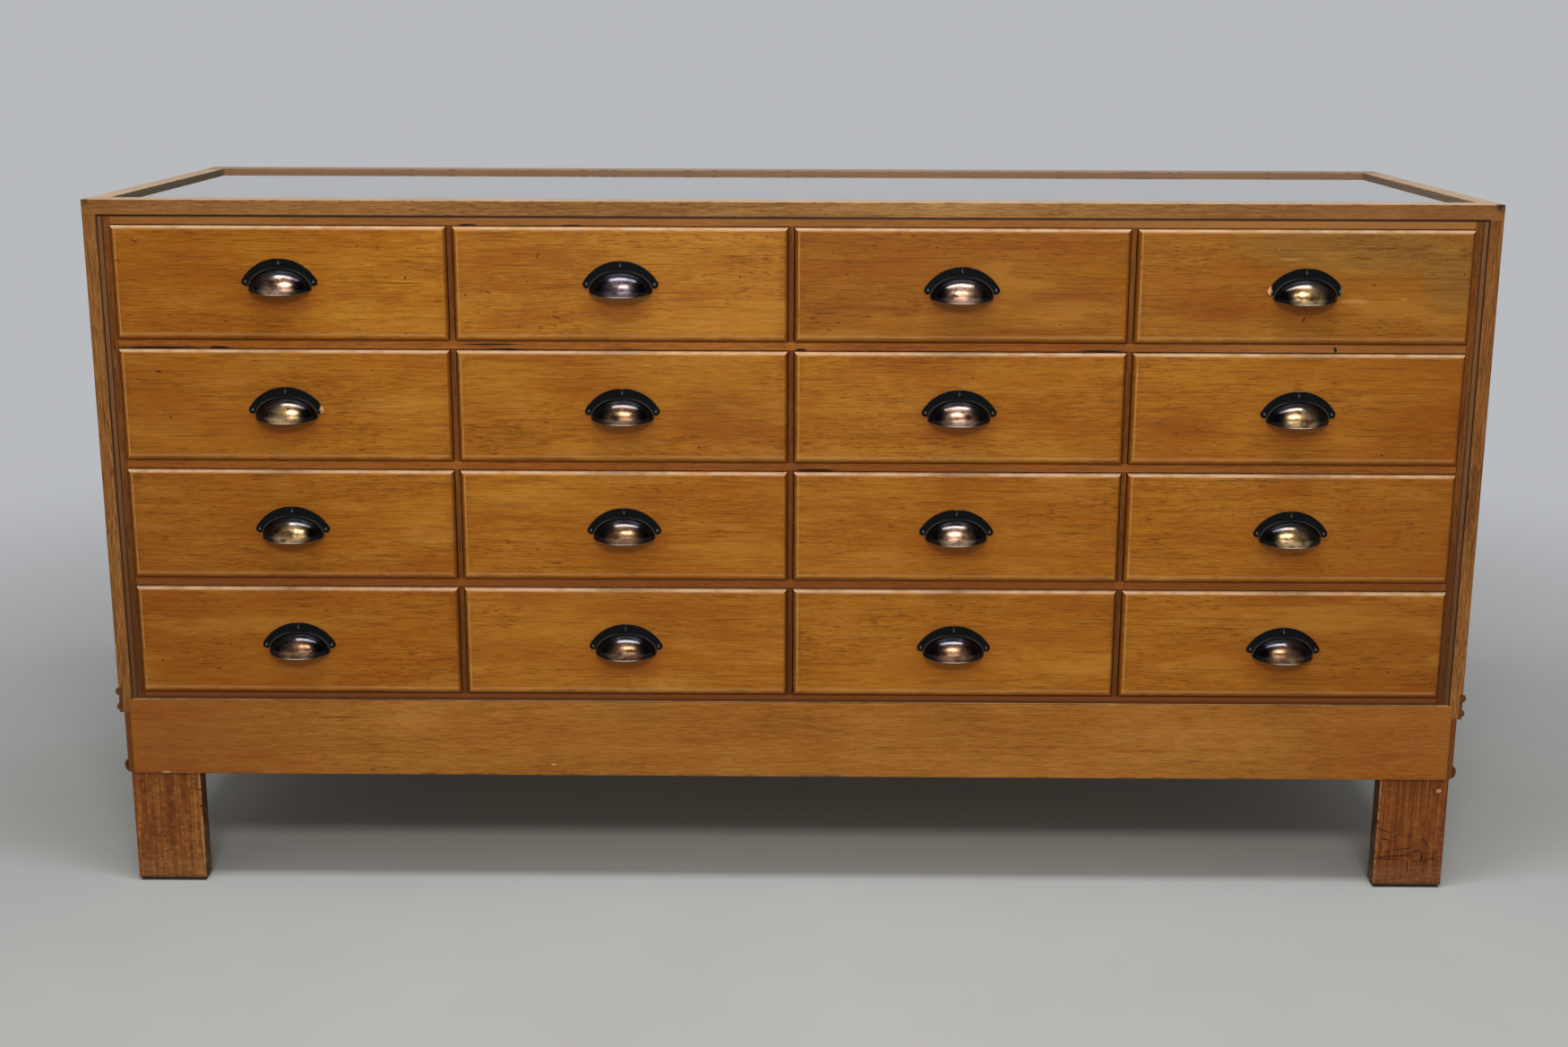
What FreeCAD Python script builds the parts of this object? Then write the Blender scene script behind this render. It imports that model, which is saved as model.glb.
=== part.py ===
import FreeCAD, Part
import os

os.makedirs("parts", exist_ok=True)

# A free-standing shop counter of sixteen drawers under a glazed top, in millimetres.
# X runs along the front, left to right for someone who faces it; Y runs from the front to the back;
# Z runs up. The origin is on the floor, under the middle of the whole piece.
# An inner nest of uprights, rails and runners holds the drawers. An outer case of two side panels, a
# bottom, a back and a mitred top frame holds the nest, and it stands on a plinth with four corner legs.

# ------------------------------------------------------------------ nest of openings
COLUMNS = 4
ROWS = 4
OPENING_WIDTH = 424.0
OPENING_HEIGHT = 146.0
PARTITION_THICKNESS = 7.0     # upright between two columns
INNER_SIDE_THICKNESS = 16.5   # upright beside each side panel
RAIL_THICKNESS = 11.0         # horizontal rail between two rows, and the runners behind it
RAIL_DEPTH = 45.0
RUNNER_WIDTH = 14.0

# ------------------------------------------------------------------ outer case
CASE_DEPTH = 605.0
SIDE_THICKNESS = 18.0
BOTTOM_THICKNESS = 19.5
BACK_THICKNESS = 8.0
BACK_HOUSING = 9.0            # how far the back panel enters each side panel
BOARD_EASE = 0.9              # softened arris on every exposed board edge

# ------------------------------------------------------------------ glazed top
TOP_THICKNESS = 20.0
TOP_FACE_FRONT = 34.0         # top face of the front rail of the frame, outside the glass
TOP_FACE_SIDE = 25.0          # the same on the two side rails
TOP_FACE_REAR = 36.0          # the same on the rear rail
GLASS_LEDGE = 10.0            # ledge under the edge of the glass
GLASS_THICKNESS = 6.0
GLASS_SINK = 5.5              # top of the glass below the top of the frame
GLASS_FIT = 0.5
TOP_EASE = 1.2

# ------------------------------------------------------------------ plinth, legs and glides
LEG_HEIGHT = 157.5            # floor to the underside of the plinth
PLINTH_HEIGHT = 84.5
SKIRTING_THICKNESS = 8.5
SKIRTING_INSET = 5.5          # outer face of the skirting behind the outer face of the side panel
APRON_THICKNESS = 12.0
APRON_PROUD = 4.0             # apron in front of the front plane of the case
APRON_LAP = 18.5              # apron above the underside of the case
REAR_BOARD_THICKNESS = 12.0
LEG_WIDTH = 92.0
LEG_BOARD_THICKNESS = 25.0
LEG_FRONT_SHOULDER = 6.0      # leg in front of the plane that its tongue stands in
LEG_SIDE_SHOULDER = 5.5
GLIDE_THICKNESS = 4.5
GLIDE_INSET = 2.5

# ------------------------------------------------------------------ mouldings on the two ends
STRIP_HEIGHT = 34.5
STRIP_LET_IN = 4.3            # depth of the strip inside the side panel
STRIP_TOP_BEAD = 11.0
STRIP_TOP_PROUD = 4.2
STRIP_FOOT_MARGIN = 2.8       # flat edge of the strip below its lower bead
STRIP_FOOT_BEAD = 10.5
STRIP_FOOT_PROUD = 3.6
BASE_BEAD_RAISE = 1.5         # bead above the underside of the skirting
BASE_BEAD_HEIGHT = 17.0
BASE_BEAD_PROUD = 4.7

# ------------------------------------------------------------------ drawers
FRONT_THICKNESS = 20.0
FRONT_PROUD = 6.5             # drawer face in front of the front plane of the case
FRONT_ROUND = 6.0             # rounding along the four edges of the face
FIT_SIDE = 0.7                # drawer to upright, each side
FIT_BELOW = 0.4               # drawer to rail and runner below
FIT_ABOVE = 1.2               # drawer front to rail above
DRAWER_SIDE_THICKNESS = 11.0
DRAWER_BACK_THICKNESS = 9.0
DRAWER_BOTTOM_THICKNESS = 5.0
SIDE_DROP = 12.0              # top of the drawer side below the top of its front
BACK_DROP = 8.0               # top of the drawer back below the top of its sides
BOTTOM_RAISE = 6.0            # underside of the drawer bottom above the edge that runs
GROOVE_DEPTH = 5.0            # groove for the drawer bottom
GROOVE_FIT = 0.1
SIDE_LAP = 8.0                # drawer side let into the back of its front
REAR_FIT = 0.6                # drawer to the back panel, which stops it

# ------------------------------------------------------------------ cup handles
FLANGE_THICKNESS = 1.5
FLANGE_EASE = 0.5             # softened front edge of the flange
EAR_RADIUS = 5.0
EAR_SPREAD = 43.0             # ear screw to the middle of the handle
EAR_DROP = 29.5               # ear screw below the top of the flange
CUP_HALF_LENGTH = 41.0
CUP_RADIUS = 28.0
CUP_WALL = 1.5
CUP_AXIS_DROP = 39.5          # long axis of the cup below the top of the flange
CUP_AXIS_SET_BACK = 4.5       # long axis of the cup behind the drawer face
LIP_BACK_DROP = 39.3          # open edge of the cup at the drawer face
LIP_SLOPE = 0.21              # fall of the open edge for each millimetre away from the face
HANDLE_RAISE = 24.8           # top of the flange above the middle of the drawer face
LEFT_HANDLE_LIFT = 7.2        # the top left handle is screwed on this much higher than the rest
NEXT_HANDLE_LIFT = 5.8        # and the one to its right this much
RIGHT_HANDLE_SHIFT = 2.0      # the right column's handles are screwed on this much right of the middle
TOP_SCREW_DROP = 6.2
SCREW_HEAD_RADIUS = 2.8
SCREW_HEAD_HEIGHT = 1.5
SCREW_SHANK_RADIUS = 1.4
SCREW_SHANK_LENGTH = 11.0
SCREW_POINT_LENGTH = 2.0
SCREW_SLOT_WIDTH = 0.8
SCREW_SLOT_DEPTH = 0.6
SCREW_SLOT_TURN = 50.0        # degrees from the slot of one screw to the next
SCREW_FIT = 0.1

# ------------------------------------------------------------------ levels and planes worked out
CASE_BASE = LEG_HEIGHT + PLINTH_HEIGHT
NEST_BASE = CASE_BASE + BOTTOM_THICKNESS
NEST_TOP = NEST_BASE + ROWS * OPENING_HEIGHT + (ROWS + 1) * RAIL_THICKNESS
TOTAL_HEIGHT = NEST_TOP + TOP_THICKNESS
ROW_PITCH = OPENING_HEIGHT + RAIL_THICKNESS
COLUMN_PITCH = OPENING_WIDTH + PARTITION_THICKNESS

NEST_HALF = (COLUMNS * OPENING_WIDTH + (COLUMNS - 1) * PARTITION_THICKNESS) / 2
CASE_INNER_HALF = NEST_HALF + INNER_SIDE_THICKNESS
CASE_HALF = CASE_INNER_HALF + SIDE_THICKNESS
SKIRTING_HALF = CASE_HALF - SKIRTING_INSET
PLINTH_CORE_HALF = SKIRTING_HALF - SKIRTING_THICKNESS
LEG_HALF = PLINTH_CORE_HALF + LEG_SIDE_SHOULDER

# The top edge of the flange is one arc that runs smoothly into the round of each ear.
ARCH_RADIUS = (EAR_SPREAD ** 2 + EAR_DROP ** 2 - EAR_RADIUS ** 2) / (2 * (EAR_DROP - EAR_RADIUS))
EAR_TOP_X = ARCH_RADIUS * EAR_SPREAD / (ARCH_RADIUS - EAR_RADIUS)
EAR_TOP_DROP = ARCH_RADIUS - ARCH_RADIUS * (ARCH_RADIUS - EAR_DROP) / (ARCH_RADIUS - EAR_RADIUS)
CUP_PROJECTION = CUP_RADIUS - CUP_AXIS_SET_BACK
REACH = FRONT_PROUD + CUP_PROJECTION                # handle in front of the front plane
FRONT_Y = (REACH - CASE_DEPTH) / 2                  # front plane of the case
FACE_Y = FRONT_Y - FRONT_PROUD                      # face of the drawers
REAR_Y = FRONT_Y + CASE_DEPTH
BACK_PANEL_Y = REAR_Y - BACK_THICKNESS              # front face of the back panel
APRON_BACK_Y = FRONT_Y - APRON_PROUD + APRON_THICKNESS
REAR_BOARD_Y = REAR_Y - REAR_BOARD_THICKNESS
GLASS_TOP = TOTAL_HEIGHT - GLASS_SINK
LEDGE_LEVEL = GLASS_TOP - GLASS_THICKNESS

FRONT_WIDTH = OPENING_WIDTH - 2 * FIT_SIDE
FRONT_HEIGHT = OPENING_HEIGHT - FIT_BELOW - FIT_ABOVE
TINY = 0.001                                        # tolerance for picking edges by place
REACH_PAST = 1.0                                    # how far a cutting block runs past a face


def block(x0, x1, y0, y1, z0, z1):
    """A rectangular block between two planes along each axis."""
    return Part.makeBox(x1 - x0, y1 - y0, z1 - z0, FreeCAD.Vector(x0, y0, z0))


def eased(shape, radius, keep):
    """Round the straight edges whose bounding box passes the test."""
    edges = [edge for edge in shape.Edges if keep(edge.BoundBox)]
    return shape.makeFillet(radius, edges)


def flat_at(low, high, level):
    """True where an edge lies wholly at one level along an axis."""
    return abs(low - level) < TINY and abs(high - level) < TINY


def board(x0, x1, y0, y1, z0, z1, ease=BOARD_EASE):
    """A block with every arris softened, less on a thin board."""
    shape = block(x0, x1, y0, y1, z0, z1)
    limit = min(x1 - x0, y1 - y0, z1 - z0) / 4
    return shape.makeFillet(min(ease, limit), shape.Edges)


def both_ends(shape):
    """A shape and its mirror image on the other end of the case."""
    mirrored = shape.mirror(FreeCAD.Vector(0, 0, 0), FreeCAD.Vector(1, 0, 0))
    return [shape, mirrored]


def opening_left(column):
    """Left plane of a column of openings; columns count from 0 at the left."""
    return -NEST_HALF + column * COLUMN_PITCH


def opening_bottom(row):
    """Bottom plane of a row of openings; rows count from 0 at the top."""
    return NEST_TOP - (row + 1) * ROW_PITCH


# ------------------------------------------------------------------ nest
def rail_levels():
    """Underside of each rail, from the bottom up."""
    return [NEST_BASE + level * ROW_PITCH for level in range(ROWS + 1)]


def make_front_rails():
    """One rail under each row and one over the top row, right across the nest."""
    rails = []
    for level in rail_levels():
        rails.append(board(-NEST_HALF, NEST_HALF, FRONT_Y, FRONT_Y + RAIL_DEPTH,
                           level, level + RAIL_THICKNESS))
    return Part.makeCompound(rails)


def make_partition(left):
    """A full-depth upright, notched over every front rail."""
    shape = board(left, left + PARTITION_THICKNESS, FRONT_Y, BACK_PANEL_Y, NEST_BASE, NEST_TOP)
    for level in rail_levels():
        notch = block(left - REACH_PAST, left + PARTITION_THICKNESS + REACH_PAST,
                      FRONT_Y - REACH_PAST, FRONT_Y + RAIL_DEPTH, level, level + RAIL_THICKNESS)
        shape = shape.cut(notch)
    return shape


def make_uprights():
    """The two inner sides and the partitions between the columns."""
    uprights = both_ends(board(NEST_HALF, CASE_INNER_HALF, FRONT_Y, BACK_PANEL_Y,
                               NEST_BASE, NEST_TOP))
    for column in range(1, COLUMNS):
        uprights.append(make_partition(opening_left(column) - PARTITION_THICKNESS))
    return Part.makeCompound(uprights)


def make_drawer_runners():
    """A runner on both sides of each opening, level with every rail and behind it."""
    runners = []
    for column in range(COLUMNS):
        left = opening_left(column)
        right = left + OPENING_WIDTH
        for level in rail_levels():
            for start in (left, right - RUNNER_WIDTH):
                runners.append(block(start, start + RUNNER_WIDTH, FRONT_Y + RAIL_DEPTH, BACK_PANEL_Y,
                                     level, level + RAIL_THICKNESS))
    return Part.makeCompound(runners)


# ------------------------------------------------------------------ outer case
def make_side_panels():
    """Two end boards, housed for the back panel and for the strip along their foot."""
    panel = board(CASE_INNER_HALF, CASE_HALF, FRONT_Y, REAR_Y, CASE_BASE, NEST_TOP)
    back_housing = block(CASE_INNER_HALF - REACH_PAST, CASE_INNER_HALF + BACK_HOUSING,
                         BACK_PANEL_Y, REAR_Y + REACH_PAST,
                         CASE_BASE - REACH_PAST, NEST_TOP + REACH_PAST)
    strip_housing = block(CASE_HALF - STRIP_LET_IN, CASE_HALF + REACH_PAST,
                          FRONT_Y - REACH_PAST, REAR_Y + REACH_PAST,
                          CASE_BASE - REACH_PAST, CASE_BASE + STRIP_HEIGHT)
    return Part.makeCompound(both_ends(panel.cut(back_housing).cut(strip_housing)))


def make_bottom_board():
    return board(-CASE_INNER_HALF, CASE_INNER_HALF, FRONT_Y, BACK_PANEL_Y, CASE_BASE, NEST_BASE)


def make_back_panel():
    half = CASE_INNER_HALF + BACK_HOUSING
    return block(-half, half, BACK_PANEL_Y, REAR_Y, CASE_BASE, NEST_TOP)


def make_top_frame():
    """Four mitred rails, rebated on the inside for the glass."""
    inner_half = CASE_HALF - TOP_FACE_SIDE - GLASS_LEDGE
    inner_front = FRONT_Y + TOP_FACE_FRONT + GLASS_LEDGE
    inner_rear = REAR_Y - TOP_FACE_REAR - GLASS_LEDGE
    outer = [(-CASE_HALF, FRONT_Y), (CASE_HALF, FRONT_Y), (CASE_HALF, REAR_Y), (-CASE_HALF, REAR_Y)]
    inner = [(-inner_half, inner_front), (inner_half, inner_front),
             (inner_half, inner_rear), (-inner_half, inner_rear)]
    recess = block(-CASE_HALF + TOP_FACE_SIDE, CASE_HALF - TOP_FACE_SIDE,
                   FRONT_Y + TOP_FACE_FRONT, REAR_Y - TOP_FACE_REAR,
                   LEDGE_LEVEL, TOTAL_HEIGHT + REACH_PAST)
    rails = []
    for side in range(4):
        following = (side + 1) % 4
        corners = [outer[side], outer[following], inner[following], inner[side], outer[side]]
        outline = Part.makePolygon([FreeCAD.Vector(x, y, NEST_TOP) for x, y in corners])
        rail = Part.Face(outline).extrude(FreeCAD.Vector(0, 0, TOP_THICKNESS)).cut(recess)
        rails.append(eased(rail, TOP_EASE, on_frame_top))
    return Part.makeCompound(rails)


def on_frame_top(box):
    """True for the long edges round the top face of the frame."""
    if not flat_at(box.ZMin, box.ZMax, TOTAL_HEIGHT):
        return False
    return box.XLength < TINY or box.YLength < TINY


def make_glass_top():
    half = CASE_HALF - TOP_FACE_SIDE - GLASS_FIT
    return board(-half, half, FRONT_Y + TOP_FACE_FRONT + GLASS_FIT,
                 REAR_Y - TOP_FACE_REAR - GLASS_FIT, LEDGE_LEVEL, GLASS_TOP)


# ------------------------------------------------------------------ plinth, legs and glides
def make_plinth():
    """Front apron lapped over the case, two skirtings and a rear board."""
    apron = board(-PLINTH_CORE_HALF, PLINTH_CORE_HALF, FRONT_Y - APRON_PROUD, APRON_BACK_Y,
                  LEG_HEIGHT, CASE_BASE + APRON_LAP)
    lap = block(-PLINTH_CORE_HALF - REACH_PAST, PLINTH_CORE_HALF + REACH_PAST,
                FRONT_Y, APRON_BACK_Y + REACH_PAST, CASE_BASE, CASE_BASE + APRON_LAP + REACH_PAST)
    skirting = board(PLINTH_CORE_HALF, SKIRTING_HALF, FRONT_Y, REAR_Y, LEG_HEIGHT, CASE_BASE)
    rear_board = board(-PLINTH_CORE_HALF, PLINTH_CORE_HALF, REAR_BOARD_Y, REAR_Y,
                       LEG_HEIGHT, CASE_BASE)
    return Part.makeCompound([apron.cut(lap)] + both_ends(skirting) + [rear_board])


def leg_pair(face_y, tongue_y, inward):
    """The two boards of a right-hand corner leg; inward is the Y direction towards the other legs."""
    flank_y = face_y + inward * LEG_WIDTH
    inner_y = face_y + inward * LEG_BOARD_THICKNESS
    flank_x = LEG_HALF - LEG_BOARD_THICKNESS
    flank = board(flank_x, LEG_HALF, min(face_y, flank_y), max(face_y, flank_y),
                  GLIDE_THICKNESS, CASE_BASE)
    face = board(LEG_HALF - LEG_WIDTH, flank_x, min(face_y, inner_y), max(face_y, inner_y),
                 GLIDE_THICKNESS, CASE_BASE)
    past_y = tongue_y - inward * (LEG_FRONT_SHOULDER + REACH_PAST)
    front_shoulder = block(LEG_HALF - LEG_WIDTH - REACH_PAST, LEG_HALF + REACH_PAST,
                           min(past_y, tongue_y), max(past_y, tongue_y),
                           LEG_HEIGHT, CASE_BASE + REACH_PAST)
    side_shoulder = block(PLINTH_CORE_HALF, LEG_HALF + REACH_PAST, FRONT_Y - REACH_PAST,
                          REAR_Y + REACH_PAST, LEG_HEIGHT, CASE_BASE + REACH_PAST)
    return [flank.cut(front_shoulder).cut(side_shoulder), face.cut(front_shoulder)]


def make_legs():
    """Four corner legs, each of two boards with a tongue that runs up inside the plinth."""
    front = leg_pair(APRON_BACK_Y - LEG_FRONT_SHOULDER, APRON_BACK_Y, 1)
    rear = leg_pair(REAR_BOARD_Y + LEG_FRONT_SHOULDER, REAR_BOARD_Y, -1)
    boards = []
    for shape in front + rear:
        boards += both_ends(shape)
    return Part.makeCompound(boards)


def make_foot_glides():
    """A pad under each board of each leg."""
    inner_x = LEG_HALF - LEG_WIDTH + GLIDE_INSET
    flank_x = LEG_HALF - LEG_BOARD_THICKNESS
    outer_x = LEG_HALF - GLIDE_INSET
    pads = []
    for face_y, inward in ((APRON_BACK_Y - LEG_FRONT_SHOULDER, 1),
                           (REAR_BOARD_Y + LEG_FRONT_SHOULDER, -1)):
        near_y = face_y + inward * GLIDE_INSET
        inner_y = face_y + inward * (LEG_BOARD_THICKNESS - GLIDE_INSET)
        flank_y = face_y + inward * (LEG_WIDTH - GLIDE_INSET)
        under_face = block(inner_x, flank_x, min(near_y, inner_y), max(near_y, inner_y),
                           0, GLIDE_THICKNESS)
        under_flank = block(flank_x, outer_x, min(near_y, flank_y), max(near_y, flank_y),
                            0, GLIDE_THICKNESS)
        pads += both_ends(under_face) + both_ends(under_flank)
    return Part.makeCompound(pads)


# ------------------------------------------------------------------ mouldings
def bead_edge(x, low, high, proud):
    """An arc that bulges outward between two levels on a plane."""
    middle = (low + high) / 2
    return Part.Arc(FreeCAD.Vector(x, FRONT_Y, low), FreeCAD.Vector(x + proud, FRONT_Y, middle),
                    FreeCAD.Vector(x, FRONT_Y, high)).toShape()


def line_edge(x0, z0, x1, z1):
    return Part.makeLine(FreeCAD.Vector(x0, FRONT_Y, z0), FreeCAD.Vector(x1, FRONT_Y, z1))


def make_side_mouldings():
    """A double-beaded strip along the foot of each side panel and a bead along each skirting."""
    inner = CASE_HALF - STRIP_LET_IN
    top = CASE_BASE + STRIP_HEIGHT
    foot_bottom = CASE_BASE + STRIP_FOOT_MARGIN
    foot_top = foot_bottom + STRIP_FOOT_BEAD
    head_bottom = top - STRIP_TOP_BEAD
    strip_outline = Part.Wire([
        line_edge(inner, CASE_BASE, CASE_HALF, CASE_BASE),
        line_edge(CASE_HALF, CASE_BASE, CASE_HALF, foot_bottom),
        bead_edge(CASE_HALF, foot_bottom, foot_top, STRIP_FOOT_PROUD),
        line_edge(CASE_HALF, foot_top, CASE_HALF, head_bottom),
        bead_edge(CASE_HALF, head_bottom, top, STRIP_TOP_PROUD),
        line_edge(CASE_HALF, top, inner, top),
        line_edge(inner, top, inner, CASE_BASE)])
    bead_bottom = LEG_HEIGHT + BASE_BEAD_RAISE
    bead_top = bead_bottom + BASE_BEAD_HEIGHT
    bead_outline = Part.Wire([
        bead_edge(SKIRTING_HALF, bead_bottom, bead_top, BASE_BEAD_PROUD),
        line_edge(SKIRTING_HALF, bead_top, SKIRTING_HALF, bead_bottom)])
    mouldings = []
    for outline in (strip_outline, bead_outline):
        mouldings += both_ends(Part.Face(outline).extrude(FreeCAD.Vector(0, CASE_DEPTH, 0)))
    return Part.makeCompound(mouldings)


# ------------------------------------------------------------------ drawers
def make_drawer_front(left, bottom, screw_places):
    """A board with a rounded face edge, rebated behind for the sides and grooved for the bottom."""
    right = left + FRONT_WIDTH
    top = bottom + FRONT_HEIGHT
    back_y = FACE_Y + FRONT_THICKNESS
    shape = block(left, right, FACE_Y, back_y, bottom, top)
    shape = eased(shape, FRONT_ROUND, lambda box: flat_at(box.YMin, box.YMax, FACE_Y))
    for start, end in ((left - REACH_PAST, left + DRAWER_SIDE_THICKNESS),
                       (right - DRAWER_SIDE_THICKNESS, right + REACH_PAST)):
        rebate = block(start, end, back_y - SIDE_LAP, back_y + REACH_PAST,
                       bottom - REACH_PAST, top - SIDE_DROP)
        shape = shape.cut(rebate)
    groove = block(left + DRAWER_SIDE_THICKNESS - GROOVE_DEPTH,
                   right - DRAWER_SIDE_THICKNESS + GROOVE_DEPTH,
                   back_y - GROOVE_DEPTH, back_y + REACH_PAST,
                   bottom + BOTTOM_RAISE, bottom + BOTTOM_RAISE + DRAWER_BOTTOM_THICKNESS)
    shape = shape.cut(groove)
    depth = SCREW_SHANK_LENGTH + SCREW_POINT_LENGTH - FLANGE_THICKNESS + SCREW_FIT
    for x, z in screw_places:
        pilot = Part.makeCylinder(SCREW_SHANK_RADIUS + SCREW_FIT, depth + REACH_PAST,
                                  FreeCAD.Vector(x, FACE_Y - REACH_PAST, z), FreeCAD.Vector(0, 1, 0))
        shape = shape.cut(pilot)
    return shape


def make_drawer_box(left, bottom):
    """Two grooved sides, a back that stands on the bottom, and a thin bottom in the grooves."""
    right = left + FRONT_WIDTH
    side_top = bottom + FRONT_HEIGHT - SIDE_DROP
    side_start = FACE_Y + FRONT_THICKNESS - SIDE_LAP
    side_end = BACK_PANEL_Y - REAR_FIT
    inner_left = left + DRAWER_SIDE_THICKNESS
    inner_right = right - DRAWER_SIDE_THICKNESS
    floor_low = bottom + BOTTOM_RAISE
    floor_high = floor_low + DRAWER_BOTTOM_THICKNESS
    groove = block(inner_left - GROOVE_DEPTH, inner_right + GROOVE_DEPTH,
                   side_start - REACH_PAST, side_end + REACH_PAST, floor_low, floor_high)
    left_side = board(left, inner_left, side_start, side_end, bottom, side_top).cut(groove)
    right_side = board(inner_right, right, side_start, side_end, bottom, side_top).cut(groove)
    back = board(inner_left, inner_right, side_end - DRAWER_BACK_THICKNESS, side_end,
                 floor_high, side_top - BACK_DROP)
    reach = GROOVE_DEPTH - GROOVE_FIT
    floor = block(inner_left - reach, inner_right + reach,
                  FACE_Y + FRONT_THICKNESS - reach, side_end,
                  floor_low + GROOVE_FIT, floor_high - GROOVE_FIT)
    return Part.makeCompound([left_side, right_side, back, floor])


# ------------------------------------------------------------------ handles
def spheroid(half_length, radius):
    """An ellipsoid of revolution about the long axis of the cup, with the flange top at height 0."""
    centre = FreeCAD.Vector(0, CUP_AXIS_SET_BACK, -CUP_AXIS_DROP)
    curve = Part.Ellipse(FreeCAD.Vector(half_length, 0, 0), FreeCAD.Vector(0, 0, radius),
                         FreeCAD.Vector(0, 0, 0))
    half = curve.toShape(0, 3.141592653589793)
    axis = Part.makeLine(half.Vertexes[-1].Point, half.Vertexes[0].Point)
    face = Part.Face(Part.Wire([half, axis]))
    solid = face.revolve(FreeCAD.Vector(0, 0, 0), FreeCAD.Vector(1, 0, 0), 360)
    solid.translate(centre)
    return solid


def screw_offsets():
    """The three screws of a handle, from the middle of the top of the flange."""
    return [(-EAR_SPREAD, -EAR_DROP), (EAR_SPREAD, -EAR_DROP), (0, -TOP_SCREW_DROP)]


def on_flange(x, z):
    return FreeCAD.Vector(x, 0, z)


def ear_edge(side):
    """The round of one ear, from the end of the arch to its lowest point."""
    halfway = on_flange(side * (EAR_SPREAD + EAR_RADIUS * 0.75 ** 0.5), -EAR_DROP - EAR_RADIUS / 2)
    return Part.Arc(on_flange(side * EAR_TOP_X, -EAR_TOP_DROP), halfway,
                    on_flange(side * EAR_SPREAD, -EAR_DROP - EAR_RADIUS)).toShape()


def make_flange():
    """The flat plate behind the cup, an arch that ends in two ears."""
    arch = Part.Arc(on_flange(-EAR_TOP_X, -EAR_TOP_DROP), on_flange(0, 0),
                    on_flange(EAR_TOP_X, -EAR_TOP_DROP)).toShape()
    foot = Part.makeLine(on_flange(EAR_SPREAD, -EAR_DROP - EAR_RADIUS),
                         on_flange(-EAR_SPREAD, -EAR_DROP - EAR_RADIUS))
    outline = Part.Wire([arch, ear_edge(1), foot, ear_edge(-1)])
    plate = Part.Face(outline).extrude(FreeCAD.Vector(0, -FLANGE_THICKNESS, 0))
    return eased(plate, FLANGE_EASE, lambda box: flat_at(box.YMin, box.YMax, -FLANGE_THICKNESS))


def make_cup():
    """A pressed cup: a flange with two ears, and half a hollow spheroid open underneath."""
    reach_x = max(EAR_SPREAD + EAR_RADIUS, CUP_HALF_LENGTH) + REACH_PAST
    low = -CUP_AXIS_DROP - CUP_RADIUS - REACH_PAST
    behind = block(-reach_x, reach_x, 0, CUP_RADIUS + CUP_AXIS_SET_BACK + REACH_PAST, low, REACH_PAST)
    front_y = -CUP_PROJECTION - REACH_PAST
    below_lip = Part.makePolygon([FreeCAD.Vector(-reach_x, y, z) for y, z in (
        (REACH_PAST, -LIP_BACK_DROP + LIP_SLOPE * REACH_PAST),
        (front_y, -LIP_BACK_DROP + LIP_SLOPE * front_y), (front_y, low), (REACH_PAST, low),
        (REACH_PAST, -LIP_BACK_DROP + LIP_SLOPE * REACH_PAST))])
    below_lip = Part.Face(below_lip).extrude(FreeCAD.Vector(2 * reach_x, 0, 0))
    dome = spheroid(CUP_HALF_LENGTH, CUP_RADIUS).cut(behind).cut(below_lip)
    hollow = spheroid(CUP_HALF_LENGTH - CUP_WALL, CUP_RADIUS - CUP_WALL)
    cup = make_flange().fuse(dome).cut(hollow)
    for x, z in screw_offsets():
        cup = cup.cut(Part.makeCylinder(SCREW_SHANK_RADIUS + SCREW_FIT, FLANGE_THICKNESS + 2 * REACH_PAST,
                                        FreeCAD.Vector(x, REACH_PAST, z), FreeCAD.Vector(0, -1, 0)))
    return cup.removeSplitter()


def make_screw(slot_turn):
    """A round-headed wood screw along Y, with the underside of its head at the origin."""
    crown = FreeCAD.Vector(0, -SCREW_HEAD_HEIGHT, 0)
    rim = FreeCAD.Vector(SCREW_HEAD_RADIUS, 0, 0)
    curvature = (SCREW_HEAD_RADIUS ** 2 + SCREW_HEAD_HEIGHT ** 2) / (2 * SCREW_HEAD_HEIGHT)
    half_x = SCREW_HEAD_RADIUS / 2
    half_y = curvature - SCREW_HEAD_HEIGHT - (curvature ** 2 - half_x ** 2) ** 0.5
    head = Part.Arc(crown, FreeCAD.Vector(half_x, half_y, 0), rim).toShape()
    corners = [rim, FreeCAD.Vector(SCREW_SHANK_RADIUS, 0, 0),
               FreeCAD.Vector(SCREW_SHANK_RADIUS, SCREW_SHANK_LENGTH, 0),
               FreeCAD.Vector(0, SCREW_SHANK_LENGTH + SCREW_POINT_LENGTH, 0), crown]
    outline = Part.Wire([head] + Part.makePolygon(corners).Edges)
    screw = Part.Face(outline).revolve(FreeCAD.Vector(0, 0, 0), FreeCAD.Vector(0, 1, 0), 360)
    slot = block(-SCREW_HEAD_RADIUS - REACH_PAST, SCREW_HEAD_RADIUS + REACH_PAST,
                 -SCREW_HEAD_HEIGHT - REACH_PAST, -SCREW_HEAD_HEIGHT + SCREW_SLOT_DEPTH,
                 -SCREW_SLOT_WIDTH / 2, SCREW_SLOT_WIDTH / 2)
    slot.rotate(FreeCAD.Vector(0, 0, 0), FreeCAD.Vector(0, 1, 0), slot_turn)
    return screw.cut(slot)


def make_handle():
    """A cup and its three screws, with the flange top at the origin and its back on the plane Y = 0."""
    pieces = [make_cup()]
    for number, (x, z) in enumerate(screw_offsets()):
        screw = make_screw(number * SCREW_SLOT_TURN)
        screw.translate(FreeCAD.Vector(x, -FLANGE_THICKNESS, z))
        pieces.append(screw)
    return Part.makeCompound(pieces)


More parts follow.
